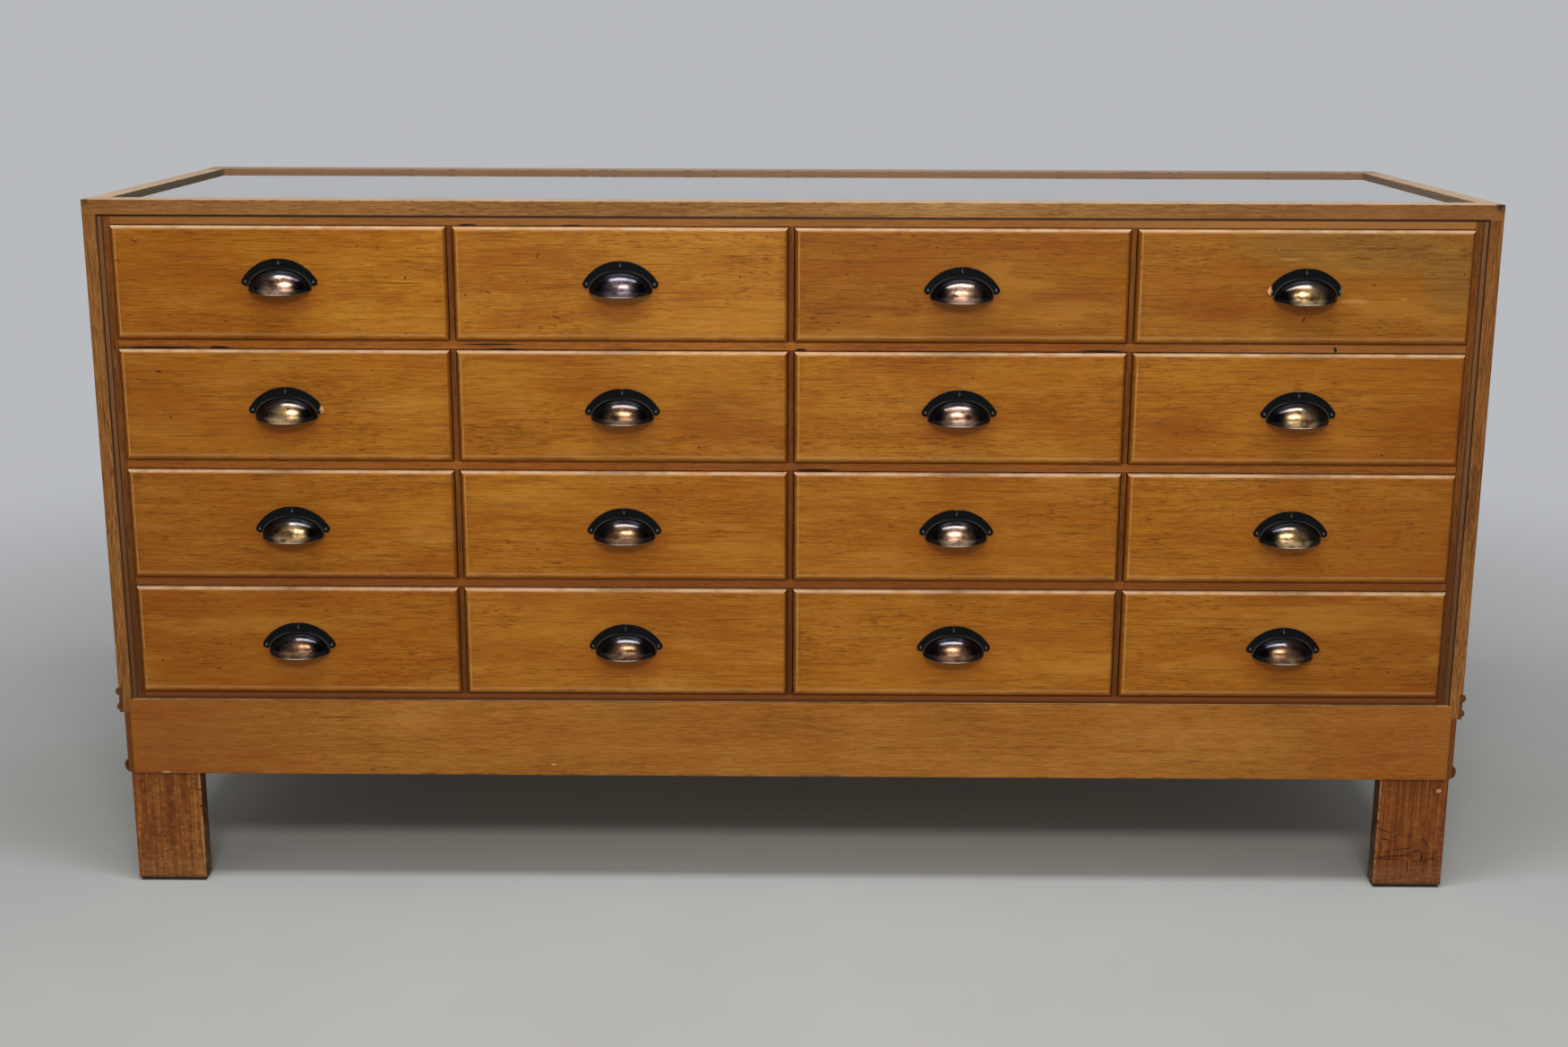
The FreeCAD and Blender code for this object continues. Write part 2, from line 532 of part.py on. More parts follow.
# ------------------------------------------------------------------ assembly
def handle_lift(row, column):
    """How much higher than the rest the handle of a drawer is screwed on."""
    return {(0, 0): LEFT_HANDLE_LIFT, (0, 1): NEXT_HANDLE_LIFT}.get((row, column), 0)


def handle_shift(column):
    """How far right of the middle of its drawer a handle is screwed on."""
    return RIGHT_HANDLE_SHIFT if column == COLUMNS - 1 else 0


def drawer_nodes():
    """Front, box and handle of every drawer, by node name."""
    nodes = {}
    handle = make_handle()
    for row in range(ROWS):
        bottom = opening_bottom(row) + FIT_BELOW
        for column in range(COLUMNS):
            left = opening_left(column) + FIT_SIDE
            handle_x = left + FRONT_WIDTH / 2 + handle_shift(column)
            handle_z = bottom + FRONT_HEIGHT / 2 + HANDLE_RAISE + handle_lift(row, column)
            screws = [(handle_x + x, handle_z + z) for x, z in screw_offsets()]
            name = "drawer_r%dc%d" % (row + 1, column + 1)
            nodes[name + "_front"] = make_drawer_front(left, bottom, screws)
            nodes[name + "_box"] = make_drawer_box(left, bottom)
            nodes[name + "_handle"] = handle.translated(FreeCAD.Vector(handle_x, FACE_Y, handle_z))
    return nodes


def case_nodes():
    """Everything that stays still, by node name."""
    return {"front_rails": make_front_rails(), "uprights": make_uprights(),
            "drawer_runners": make_drawer_runners(), "side_panels": make_side_panels(),
            "bottom_board": make_bottom_board(), "back_panel": make_back_panel(),
            "top_frame": make_top_frame(), "glass_top": make_glass_top(),
            "plinth": make_plinth(), "legs": make_legs(), "foot_glides": make_foot_glides(),
            "side_mouldings": make_side_mouldings()}


for node, shape in {**case_nodes(), **drawer_nodes()}.items():
    shape.exportStep("parts/" + node + ".step")
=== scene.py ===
import math

import bpy
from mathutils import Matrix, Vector


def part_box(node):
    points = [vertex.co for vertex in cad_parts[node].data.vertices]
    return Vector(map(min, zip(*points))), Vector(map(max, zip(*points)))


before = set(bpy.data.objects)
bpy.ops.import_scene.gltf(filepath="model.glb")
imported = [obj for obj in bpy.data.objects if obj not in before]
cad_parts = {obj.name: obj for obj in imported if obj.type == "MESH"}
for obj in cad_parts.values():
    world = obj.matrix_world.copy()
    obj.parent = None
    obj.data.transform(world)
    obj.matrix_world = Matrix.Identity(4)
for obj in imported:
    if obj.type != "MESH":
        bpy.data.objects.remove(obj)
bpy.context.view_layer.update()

# Finishes, lights, floor and camera for a shop counter of sixteen drawers. Lengths are in metres.
# A mask is 1 where something shows and 0 where it doesn't.
MM = 0.001
ROWS = 4
COLUMNS = 4

# ------------------------------------------------------------------ camera
CAMERA_PLACE = (0.0071, -2.8651, 1.1352)
CAMERA_DOWN = 13.724          # degrees below level
CAMERA_TURN = 0.386           # degrees to the left
CAMERA_ROLL = 0.197           # degrees
CAMERA_LENS = 46.82           # millimetres
SENSOR_WIDTH = 36.0           # millimetres

# ------------------------------------------------------------------ surroundings
BACKDROP = (184, 186, 190)    # seen by the camera and in the glass, as sRGB
ROOM_GLOSS = 0.05             # how bright the room in front of the piece is in reflections
AMBIENT_FRONT = 0.50          # strength of the soft light from before the piece
AMBIENT_REAR = 0.16           # and from behind it
AMBIENT_COLOUR = (1.0, 0.99, 0.97, 1.0)
FLOOR = (178, 179, 178)
FLOOR_SHADE = (173, 174, 173)
FLOOR_REACH = 60.0            # from the middle to each side
FLOOR_FADE = (0.95, 3.0)      # distance at which the floor turns into the backdrop

# ------------------------------------------------------------------ places that the wear follows
REVEAL_INSET = 20 * MM        # the frame's inner faces lie further in than this
FRONT_FACE_DEPTH = 5 * MM     # the frame's front face lies within this of its foremost point
REAR_RAIL = (60 * MM, 45 * MM)    # where the rear rail of the frame begins, before its rear face
FRAME_LEFT_END = (-0.75, -0.25)   # the frame's front is browner to the left of here
FRAME_RIGHT_END = (0.40, 0.70)    # and to the right of here
GREY_EDGE = 7 * MM            # greyer strip of each inner side, beside its side panel
BEAD_JOINT = 8.5 * MM         # from the outside of the mouldings to the side panel
APRON_THICKNESS = 12 * MM
SKIRTING_END = (9.5 * MM, 8.2 * MM)   # where the apron ends and the end grain of a skirting begins
APRON_LEFT_END = (-0.86, -0.55)   # the apron is redder to the left of here
APRON_RIGHT_END = (0.60, 0.86)    # and to the right of here
LEG_WIDTH = 92 * MM
LEG_SEAMS = ((21, 1.6, 0.30), (55, 1.3, 0.30), (75, 1.3, 0.50))    # mm inward, reach in mm, dirt
OUTER_STRIP = 21 * MM         # a leg's outermost strip of wood ends here, counted inward
INNER_STRIP = 75 * MM         # and its innermost strip begins here
BOX_SIDE = 11.05 * MM         # just over the thickness of a drawer box's side
HALO_DROP = 12 * MM           # the hands' mark and painted shadow round a handle, below the middle of the front
HALO_HALF_WIDTH = 0.066
HALO_HALF_HEIGHT = 0.044
LEFT_ARRIS = 5.8 * MM         # rubbed edge and painted highlight beside the rounded left side of a front
FOOT_ARRIS = 7.8 * MM         # painted highlight above a front's rounded foot

# ------------------------------------------------------------------ places on a handle
EAR_SPREAD = 43 * MM          # ear screw to the middle
EAR_DROP = 29.5 * MM          # ear screw below the top of the flange
TOP_SCREW_DROP = 6.2 * MM
CUP_AXIS_DROP = 39.5 * MM     # long axis of the cup below the top of the flange
CREASE_HALF_WIDTH = 40.1 * MM     # the line where the cup leaves the flange
CREASE_RISE = 27.35 * MM
EAR_TIP_INSET = 4 * MM
EAR_TIP_DROP = 31 * MM


def srgb(red, green, blue):
    """A colour written as sRGB from 0 to 255, as linear RGBA."""
    linear = []
    for value in (red, green, blue):
        share = value / 255
        linear.append(share / 12.92 if share <= 0.04045 else ((share + 0.055) / 1.055) ** 2.4)
    return (*linear, 1.0)


# A dark brown for dirt, and for painted shade in joints and gaps.
SOIL_AND_SHADE = srgb(52, 26, 10)


class Tree:
    """A material or world whose nodes are made by calls that return sockets."""

    def __init__(self, graph, output):
        self.graph = graph
        self.graph.nodes.clear()
        self.output = graph.nodes.new(output)

    def node(self, kind, inputs, **settings):
        made = self.graph.nodes.new("ShaderNode" + kind)
        for name, value in settings.items():
            setattr(made, name, value)
        for name, value in inputs.items():
            self.feed(made.inputs[name], value)
        return made

    def feed(self, socket, value):
        if isinstance(value, bpy.types.NodeSocket):
            self.graph.links.new(value, socket)
        else:
            socket.default_value = value

    def show(self, shader):
        """Join a shader to the output."""
        self.feed(self.output.inputs["Surface"], shader.outputs[0])

    def math(self, operation, a, b=0.0, clamp=False):
        return self.node("Math", {0: a, 1: b}, operation=operation, use_clamp=clamp).outputs[0]

    def times(self, a, b):
        return self.math("MULTIPLY", a, b)

    def plus(self, a, b, clamp=False):
        return self.math("ADD", a, b, clamp)

    def minus(self, a, b):
        return self.math("SUBTRACT", a, b)

    def either(self, a, b):
        return self.math("MAXIMUM", a, b)

    def size(self, a):
        return self.math("ABSOLUTE", a)

    def above(self, a, limit):
        return self.math("GREATER_THAN", a, limit)

    def below(self, a, limit):
        return self.math("LESS_THAN", a, limit)

    def rise(self, value, low, high, bottom=0.0, top=1.0):
        """A smooth step from bottom to top as the value goes from low to high."""
        inputs = {"Value": value, "From Min": low, "From Max": high, "To Min": bottom, "To Max": top}
        return self.node("MapRange", inputs, interpolation_type="SMOOTHSTEP").outputs[0]

    def fall(self, value, low, high, top=1.0, bottom=0.0):
        """A smooth step from top to bottom as the value goes from low to high."""
        return self.rise(value, low, high, top, bottom)

    def near(self, value, level, reach):
        """A mask round a level, falling to 0 within its reach on both sides."""
        return self.fall(self.size(self.minus(value, level)), 0.25 * reach, reach)

    def vector(self, operation, a, b):
        return self.node("VectorMath", {0: a, 1: b}, operation=operation).outputs[0]

    def length(self, vector):
        return self.node("VectorMath", {0: vector}, operation="LENGTH").outputs["Value"]

    def split(self, vector):
        return self.node("SeparateXYZ", {0: vector}).outputs

    def join(self, x, y, z):
        return self.node("CombineXYZ", {0: x, 1: y, 2: z}).outputs[0]

    def mix(self, share, a, b):
        return self.node("Mix", {0: share, 6: a, 7: b}, data_type="RGBA").outputs[2]

    def mix_vectors(self, share, a, b):
        return self.node("Mix", {0: share, 4: a, 5: b}, data_type="VECTOR").outputs[1]

    def tint(self, colour, mask, amount, other=SOIL_AND_SHADE):
        """A colour mixed with so much of another where a mask shows."""
        return self.mix(self.times(mask, amount), colour, other)

    def noise(self, place, features, detail=2.0, roughness=0.5):
        """Noise with so many features to the metre along X, Y and Z."""
        inputs = {"Vector": self.vector("MULTIPLY", place, features), "Scale": 1.0, "Detail": detail,
                  "Roughness": roughness}
        return self.node("TexNoise", inputs).outputs[0]

    def cells(self, place, features):
        """Distance to the nearest scattered point, and that point's random colour."""
        made = self.node("TexVoronoi", {"Vector": self.vector("MULTIPLY", place, features), "Scale": 1.0})
        return made.outputs["Distance"], made.outputs["Color"]

    def place(self):
        return self.node("TexCoord", {}).outputs["Object"]

    def facing(self):
        return self.node("TexCoord", {}).outputs["Normal"]

    def bump(self, height, strength, depth):
        inputs = {"Strength": strength, "Distance": depth, "Height": height}
        return self.node("Bump", inputs).outputs[0]


def new_material(name):
    material = bpy.data.materials.new(name)
    material.use_nodes = True
    return material, Tree(material.node_tree, "ShaderNodeOutputMaterial")


def surface(tree, inputs):
    """A Principled shader, joined to the output."""
    tree.show(tree.node("BsdfPrincipled", inputs))


def wear(node, material):
    """A CAD node takes a material in every slot."""
    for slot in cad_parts[node].material_slots:
        slot.material = material


# ------------------------------------------------------------------ wood
HONEY = {"base": srgb(163, 103, 22), "deep": srgb(141, 80, 9), "pale": srgb(177, 120, 37),
         "pore": srgb(84, 42, 8), "rough": 0.36, "specular": 0.14, "streak": 0.40, "pores": 0.72}
APRON = {"base": srgb(150, 95, 33), "deep": srgb(130, 75, 20), "pale": srgb(164, 111, 47),
         "pore": srgb(78, 40, 12), "rough": 0.38, "specular": 0.14, "streak": 0.16, "pores": 0.36}
RUSSET = {"base": srgb(154, 89, 26), "deep": srgb(130, 69, 14), "pale": srgb(170, 107, 40),
          "pore": srgb(62, 30, 10), "rough": 0.42, "specular": 0.16, "streak": 0.30, "pores": 0.5}
WALNUT = {"base": srgb(114, 64, 17), "deep": srgb(90, 45, 8), "pale": srgb(134, 83, 32),
          "pore": srgb(44, 22, 8), "rough": 0.44, "specular": 0.16, "streak": 0.40, "pores": 0.7}
CHESTNUT = {"base": srgb(132, 79, 31), "deep": srgb(116, 65, 22), "pale": srgb(146, 94, 42),
            "pore": srgb(60, 30, 10), "rough": 0.44, "specular": 0.16, "streak": 0.16, "pores": 0.30}
OAK = {"base": srgb(145, 102, 51), "deep": srgb(122, 80, 34), "pale": srgb(164, 124, 72),
       "pore": srgb(76, 46, 20), "rough": 0.48, "specular": 0.18, "streak": 0.40, "pores": 0.75}
UMBER = {"base": srgb(130, 82, 35), "deep": srgb(104, 59, 20), "pale": srgb(150, 104, 56),
         "pore": srgb(52, 30, 13), "rough": 0.48, "specular": 0.16, "streak": 0.45, "pores": 0.8}
BARE = {"base": srgb(198, 164, 118), "deep": srgb(172, 132, 84), "pale": srgb(214, 186, 146),
        "pore": srgb(126, 92, 56), "rough": 0.66, "specular": 0.25, "streak": 0.30, "pores": 0.4}
SAWN = {"base": srgb(176, 138, 94), "deep": srgb(146, 106, 64), "pale": srgb(194, 162, 120),
        "pore": srgb(100, 70, 42), "rough": 0.72, "specular": 0.22, "streak": 0.45, "pores": 0.6}
PLY = {"base": srgb(170, 126, 78), "deep": srgb(140, 96, 52), "pale": srgb(190, 150, 102),
       "pore": srgb(96, 64, 36), "rough": 0.62, "specular": 0.25, "streak": 0.40, "pores": 0.5}
GRAIN_SWAY = 6 * MM           # how far the grain wanders off a straight line


def board_space(tree, place, grain):
    """The place with its grain turned to run along X, for grain along X, Y or Z."""
    x, y, z = tree.split(place)
    if grain == "Y":
        return tree.join(y, x, z)
    if grain == "Z":
        return tree.join(z, x, y)
    return tree.join(x, y, z)


def swayed(tree, board, seed):
    """Board space moved to a place of its own by the seed, with the grain wandering a little."""
    board = tree.vector("ADD", board, (seed * 7.31, seed * 3.17, seed * 5.83))
    drift = tree.noise(board, (2.2, 7.0, 7.0))
    lift = tree.times(tree.minus(drift, 0.5), GRAIN_SWAY)
    return tree.vector("ADD", board, tree.join(0.0, lift, lift))


def wood_layers(tree, board, facing, palette, seed, stain=None):
    """Colour, height and roughness of planed wood with its grain along X of board space.

    stain, where given, changes the colour of the wood under its streaks and pores."""
    board = swayed(tree, board, seed)

    def grain(along, across, detail=2.0, roughness=0.5):
        """Noise with so many features to the metre along the grain and across it."""
        return tree.noise(board, (along, across, across), detail, roughness)

    clouds = grain(4.0, 6.0, 3.0, 0.55)
    bands = grain(3.0, 95.0, 3.0, 0.6)
    fibres = grain(36.0, 640.0, 3.0, 0.6)
    hairs = grain(90.0, 1500.0, 1.0)
    tone = tree.plus(tree.times(clouds, 0.30), tree.times(bands, 0.15))
    tone = tree.plus(tone, tree.times(fibres, 0.34))
    tone = tree.plus(tone, tree.times(hairs, 0.21))
    colour = tree.mix(tree.rise(tone, 0.41, 0.50), palette["deep"], palette["base"])
    colour = tree.mix(tree.rise(tone, 0.50, 0.59), colour, palette["pale"])
    if stain:
        colour = stain(colour)

    streaks = tree.rise(grain(44.0, 600.0, 2.0, 0.6), 0.52, 0.64, 0.0, palette["streak"])
    grouped = tree.rise(grain(3.0, 26.0), 0.38, 0.64)
    colour = tree.tint(colour, streaks, grouped, palette["pore"])
    threads = tree.rise(grain(10.0, 460.0, 1.0), 0.58, 0.66, 0.0, 0.85 * palette["streak"])
    colour = tree.mix(threads, colour, palette["pore"])
    dashes = tree.rise(grain(62.0, 760.0, 1.0), 0.60, 0.68, 0.0, palette["pores"])
    pore = tree.times(dashes, tree.rise(grain(6.0, 18.0), 0.42, 0.60))
    colour = tree.mix(pore, colour, palette["pore"])

    end = tree.rise(tree.size(tree.split(facing)[0]), 0.80, 0.95)
    dots = tree.rise(grain(300.0, 900.0), 0.40, 0.65)
    colour = tree.tint(colour, end, 0.6, tree.mix(dots, palette["deep"], palette["pore"]))

    height = tree.minus(tree.times(fibres, 0.4), pore)
    rough = tree.plus(tree.times(clouds, 0.16), palette["rough"] - 0.08)
    return colour, height, rough


def wood_surface(tree, colour, height, rough, palette, relief=0.25):
    surface(tree, {"Base Color": colour, "Roughness": rough, "Specular IOR Level": palette["specular"],
                   "Normal": tree.bump(height, relief, 0.4 * MM)})


def plain_wood(name, palette, grain, seed, finish=None, relief=0.25):
    """Wood with one direction of grain. finish, where given, changes the colour further."""
    material, tree = new_material(name)
    place = tree.place()
    board = board_space(tree, place, grain)
    facing = board_space(tree, tree.facing(), grain)
    colour, height, rough = wood_layers(tree, board, facing, palette, seed)
    if finish:
        colour = finish(tree, place, colour)
    wood_surface(tree, colour, height, rough, palette, relief)
    return material


def two_way_wood(name, palette, grains, where, seed, finish=None, relief=0.25):
    """Wood with one grain where the mask is 0 and another where it is 1."""
    material, tree = new_material(name)
    place = tree.place()
    normal = tree.facing()
    mask = where(tree, place)
    board = tree.mix_vectors(mask, *[board_space(tree, place, grain) for grain in grains])
    facing = tree.mix_vectors(mask, *[board_space(tree, normal, grain) for grain in grains])
    colour, height, rough = wood_layers(tree, board, facing, palette, seed)
    if finish:
        colour = finish(tree, place, colour)
    wood_surface(tree, colour, height, rough, palette, relief)
    return material


# ------------------------------------------------------------------ marks
# Dents, bare spots, stains, veils of old polish and dark gaps beside a drawer, whose dark is painted
# shade, as they stand in the photograph, by piece and kind: millimetres right of and above the
# piece's origin, length and width in millimetres, and turn in degrees clockwise. A drawer's origin
# is the middle of its face; the apron's and the legs' is on the floor under the middle of the counter.
MARKS = {
    "r1c1": {
        "dent": ((-181, 53, 11, 1.9, 25), (-204, 29, 7, 1.8, 0), (-126, 33, 2.4, 2.4, 0),
                 (159, 8, 3.4, 4.5, 0), (100, 48, 3.4, 1.7, 0), (126, 46, 1.4, 9, 0),
                 (-71, -48, 7, 1.7, 0), (-195, -41, 6, 1.7, 0), (157, -63, 3.4, 2.4, 0))},
    "r1c2": {
        "dent": ((-104, 37, 2, 9, 18), (-168, -10, 9, 1.8, 20), (-81, -42, 13.5, 1.8, 12),
                 (-102, -55, 7, 1.6, 0), (-84, -52, 4.5, 1.6, 0), (-130, -53, 4.5, 1.6, 0),
                 (-118, 4, 3.4, 1.6, 0), (105, 11, 3.4, 2.2, 0), (135, -23, 6, 1.6, 0),
                 (155, 59, 4.5, 1.6, 0), (185, 62, 4.5, 1.6, 0)),
        "gap": ((-168, -77.2, 84, 2.6, 0), (-60, 74.2, 30, 2.4, 0), (-192, 74.5, 26, 2.6, 0))},
    "r1c3": {
        "dent": ((-80, 65, 4.5, 1.6, 0), (-163, 41, 4.5, 1.6, 0), (-32, 49, 4.5, 1.6, 0),
                 (-23, 41, 3.4, 1.8, 0), (-145, 15, 6, 1.6, 0), (93, 48, 4.5, 1.8, 0),
                 (-118, -39, 7, 1.6, 0), (-182, -46, 4.5, 1.6, 0), (-156, -47, 6, 1.6, 0),
                 (-167, -56, 6, 1.6, 0), (126, -48, 4.5, 1.8, 0)),
        "stain": ((130, -18, 170, 30, -3), (-120, -30, 170, 16, 2), (110, -56, 190, 12, 0))},
    "r1c4": {
        "dent": ((2, -40, 3.3, 9, 25), (200, 18, 3.3, 2.2, 0), (178, 63, 3.3, 2.2, 0)),
        "bare": ((-35, 48, 3.3, 2.2, 0), (-20, 36, 33, 2.8, 0), (65, -17, 44, 5.6, 0),
                 (127, -14, 9, 3.3, 0)),
        "veil": ((60, 52, 330, 74, 2), (186, 20, 90, 110, 0)),
        "stain": ((-120, -26, 170, 34, 0),),
        "gap": ((46, -79.5, 4.6, 10.0, -15),)},
    "r2c2": {
        "stain": ((130, -14, 170, 80, 0),),
        "gap": ((-150, 74.2, 44, 2.2, 0),)},
    "r2c4": {
        "stain": ((-150, -20, 120, 30, 0),)},
    "r2c1": {
        "dent": ((-161, 44, 10, 3.4, 0), (112, 47, 4.6, 1.8, 0)),
        "bare": ((-163, -9, 6, 2.3, 0),),
        "gap": ((-155, 74.5, 116, 2.6, 0), (-83, 74.6, 30, 4.0, 0))},
    "r3c3": {
        "gap": ((-184, 74.7, 62, 4.2, 0),)},
    "r2c3": {
        "gap": ((179, 74.6, 64, 3.6, 0), (-203, 74.6, 17, 4.0, 0))},
    "apron": {
        "dent": ((-598, 238, 68, 1.8, 0), (-703, 238, 10, 1.6, 0), (-558, 164, 12, 2.0, 8),
                 (-540, 168, 9, 1.6, 12)),
        "stain": ((-726, 181, 82, 5.0, 0), (-660, 172, 60, 6.0, 0), (-120, 209, 70, 4.0, 0),
                  (470, 196, 90, 6.0, 0)),
        "bare": ((-835, 159, 14, 3.4, 0), (-315, 173, 8, 3.6, 0))},
    "leg": {
        "dent": ((822, 46, 66, 2.3, -3), (806, 42, 52, 2.0, 3), (846, 52, 30, 2.0, -16),
                 (828, 56, 32, 1.8, -6), (800, 84, 26, 1.8, 24), (806, 70, 20, 2.0, 16),
                 (818, 74, 16, 1.8, -20), (856, 44, 2.8, 18, 8), (838, 30, 1.8, 22, 0),
                 (-836, 88, 10, 1.6, 70), (-800, 76, 3.0, 3.0, 0), (-790, 52, 3.2, 3.2, 0),
                 (-794, 132, 3.2, 3.2, 0), (-794, 108, 5.0, 3.0, 0), (-788, 36, 5.0, 3.0, 10),
                 (-858, 120, 9.0, 1.6, 60), (-846, 64, 6.0, 2.0, 0)),
        "bare": ((872, 140, 8.0, 6.0, 0),)}}


def drawer_names():
    """Row, column and name of each drawer."""
    return [(row, column, "r%dc%d" % (row, column))
            for row in range(1, ROWS + 1) for column in range(1, COLUMNS + 1)]


def drawer_middle(name):
    low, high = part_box("drawer_" + name + "_front")
    return (low + high) / 2


def marked(tree, place, origin, name, kind):
    """1 in each mark of one kind on the front of one piece."""
    total = 0.0
    for x, z, length, width, turn in MARKS.get(name, {}).get(kind, ()):
        centre = (origin.x + x * MM, origin.y, origin.z + z * MM)
        inputs = {"Vector": place, "Location": centre, "Rotation": (0.0, math.radians(turn), 0.0),
                  "Scale": (length * MM / 2, 200 * MM, width * MM / 2)}
        inside = tree.node("Mapping", inputs, vector_type="TEXTURE").outputs[0]
        total = tree.either(total, tree.fall(tree.length(inside), 0.55, 1.15))
    return total


# ------------------------------------------------------------------ case
frame_low, frame_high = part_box("top_frame")
rails_low, rails_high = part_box("front_rails")
uprights_low, uprights_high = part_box("uprights")
plinth_low, plinth_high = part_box("plinth")
legs_low, legs_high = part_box("legs")
_, mouldings_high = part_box("side_mouldings")

# The rubbed colours are partly worn varnish and partly a painted sheen on the top face; the reveal
# colours are painted shade on the inner faces round the glass; the underside colour is a painted shadow
# under the frame.
FRAME_TONES = {"rubbed": srgb(186, 156, 126), "rubbed rear": srgb(146, 122, 100),
               "left reveal": srgb(84, 78, 62), "right reveal": srgb(136, 114, 94),
               "rear reveal": srgb(132, 102, 80), "brown ends": srgb(114, 66, 28),
               "left corner": srgb(40, 24, 12), "right corner": srgb(34, 20, 10),
               "underside": srgb(28, 14, 6)}
# The broad face colour is painted light, lightening the panels' sides where little light falls.
SIDE_TONES = {"broad face": srgb(172, 108, 42), "old polish": srgb(58, 34, 16),
              "moulding joint": srgb(34, 18, 8)}
# The foot and gap colours are painted shade: the dark line just above the apron and the gaps round the
# drawers.
RAIL_TONES = {"low": srgb(118, 64, 22), "top rail": srgb(112, 82, 46), "right": srgb(166, 116, 62),
              "foot": srgb(54, 30, 10), "gap": srgb(22, 11, 5)}
UPRIGHT_TONES = {"grey edge": srgb(112, 79, 48), "low": srgb(74, 42, 14), "middle": srgb(72, 34, 6)}
PLINTH_TONES = {"left end": srgb(128, 68, 24), "right end": srgb(132, 66, 22),
                "end grain": srgb(80, 42, 18), "stain": srgb(128, 52, 14), "bare": srgb(200, 160, 112)}
# The inside colour is painted shade on the faces of the legs that look in towards the middle.
LEG_TONES = {"right leg": srgb(106, 52, 14), "outer strip": srgb(118, 62, 24),
             "inner strip": srgb(150, 98, 48), "dark fleck": srgb(74, 36, 12),
             "pale fleck": srgb(176, 122, 66), "dark reed": srgb(76, 34, 10),
             "pale reed": srgb(168, 102, 42), "blotch": srgb(104, 46, 16), "scratch": srgb(44, 20, 8),
             "worn foot": srgb(128, 92, 58), "inside": srgb(40, 24, 12), "arris": srgb(196, 148, 94),
             "dent": srgb(36, 18, 8), "bare": srgb(212, 154, 112)}


def on_side_rail(tree, place):
    """1 on the two side rails of the mitred frame, 0 on the front and rear ones."""
    x, y, _ = tree.split(place)
    middle = (frame_low.y + frame_high.y) / 2
    half_depth = (frame_high.y - frame_low.y) / 2
    from_side = tree.minus(frame_high.x, tree.size(x))
    from_end = tree.minus(half_depth, tree.size(tree.minus(y, middle)))
    return tree.below(from_side, from_end)


def on_skirting(tree, place):
    """1 on the two skirtings of the plinth, 0 on its apron and rear board."""
    _, y, _ = tree.split(place)
    return tree.times(tree.above(y, plinth_low.y + APRON_THICKNESS),
                      tree.below(y, plinth_high.y - APRON_THICKNESS))


def ball(tree, place, centre, reach):
    """1 round a point, falling to 0 at its reach."""
    away = tree.length(tree.vector("SUBTRACT", place, centre))
    return tree.fall(away, 0.5 * reach, reach)


def rubbed_top_with_sheen_and_shade(tree, place, colour):
    """Varnish rubbed off the top face of the frame, with a painted sheen over it, and painted shade on
    the inner faces round the glass.
    """
    x, y, _ = tree.split(place)
    toward_z = tree.split(tree.facing())[2]
    up = tree.rise(toward_z, 0.35, 0.8)
    patches = tree.noise(place, (16.0, 16.0, 60.0), 4.0, 0.65)
    # The pale top face is partly rubbed varnish and partly a painted sheen from the light above.
    bare = tree.times(up, tree.rise(patches, 0.30, 0.65, 0.62, 0.90))
    rear = tree.rise(y, frame_high.y - REAR_RAIL[0], frame_high.y - REAR_RAIL[1])
    rubbed = tree.mix(rear, FRAME_TONES["rubbed"], FRAME_TONES["rubbed rear"])
    colour = tree.mix(bare, colour, rubbed)

    inside = tree.below(tree.size(x), frame_high.x - REVEAL_INSET)
    inside = tree.times(inside, tree.above(y, frame_low.y + REVEAL_INSET))
    inside = tree.times(inside, tree.below(y, frame_high.y - REVEAL_INSET))
    # Painted shade on the inner faces round the glass, darkest on the left and lightest on the right.
    reveal = tree.times(inside, tree.fall(toward_z, 0.35, 0.8))
    shade = tree.mix(tree.above(x, 0.0), FRAME_TONES["left reveal"], FRAME_TONES["right reveal"])
    return tree.tint(colour, reveal, 0.8, tree.mix(rear, shade, FRAME_TONES["rear reveal"]))


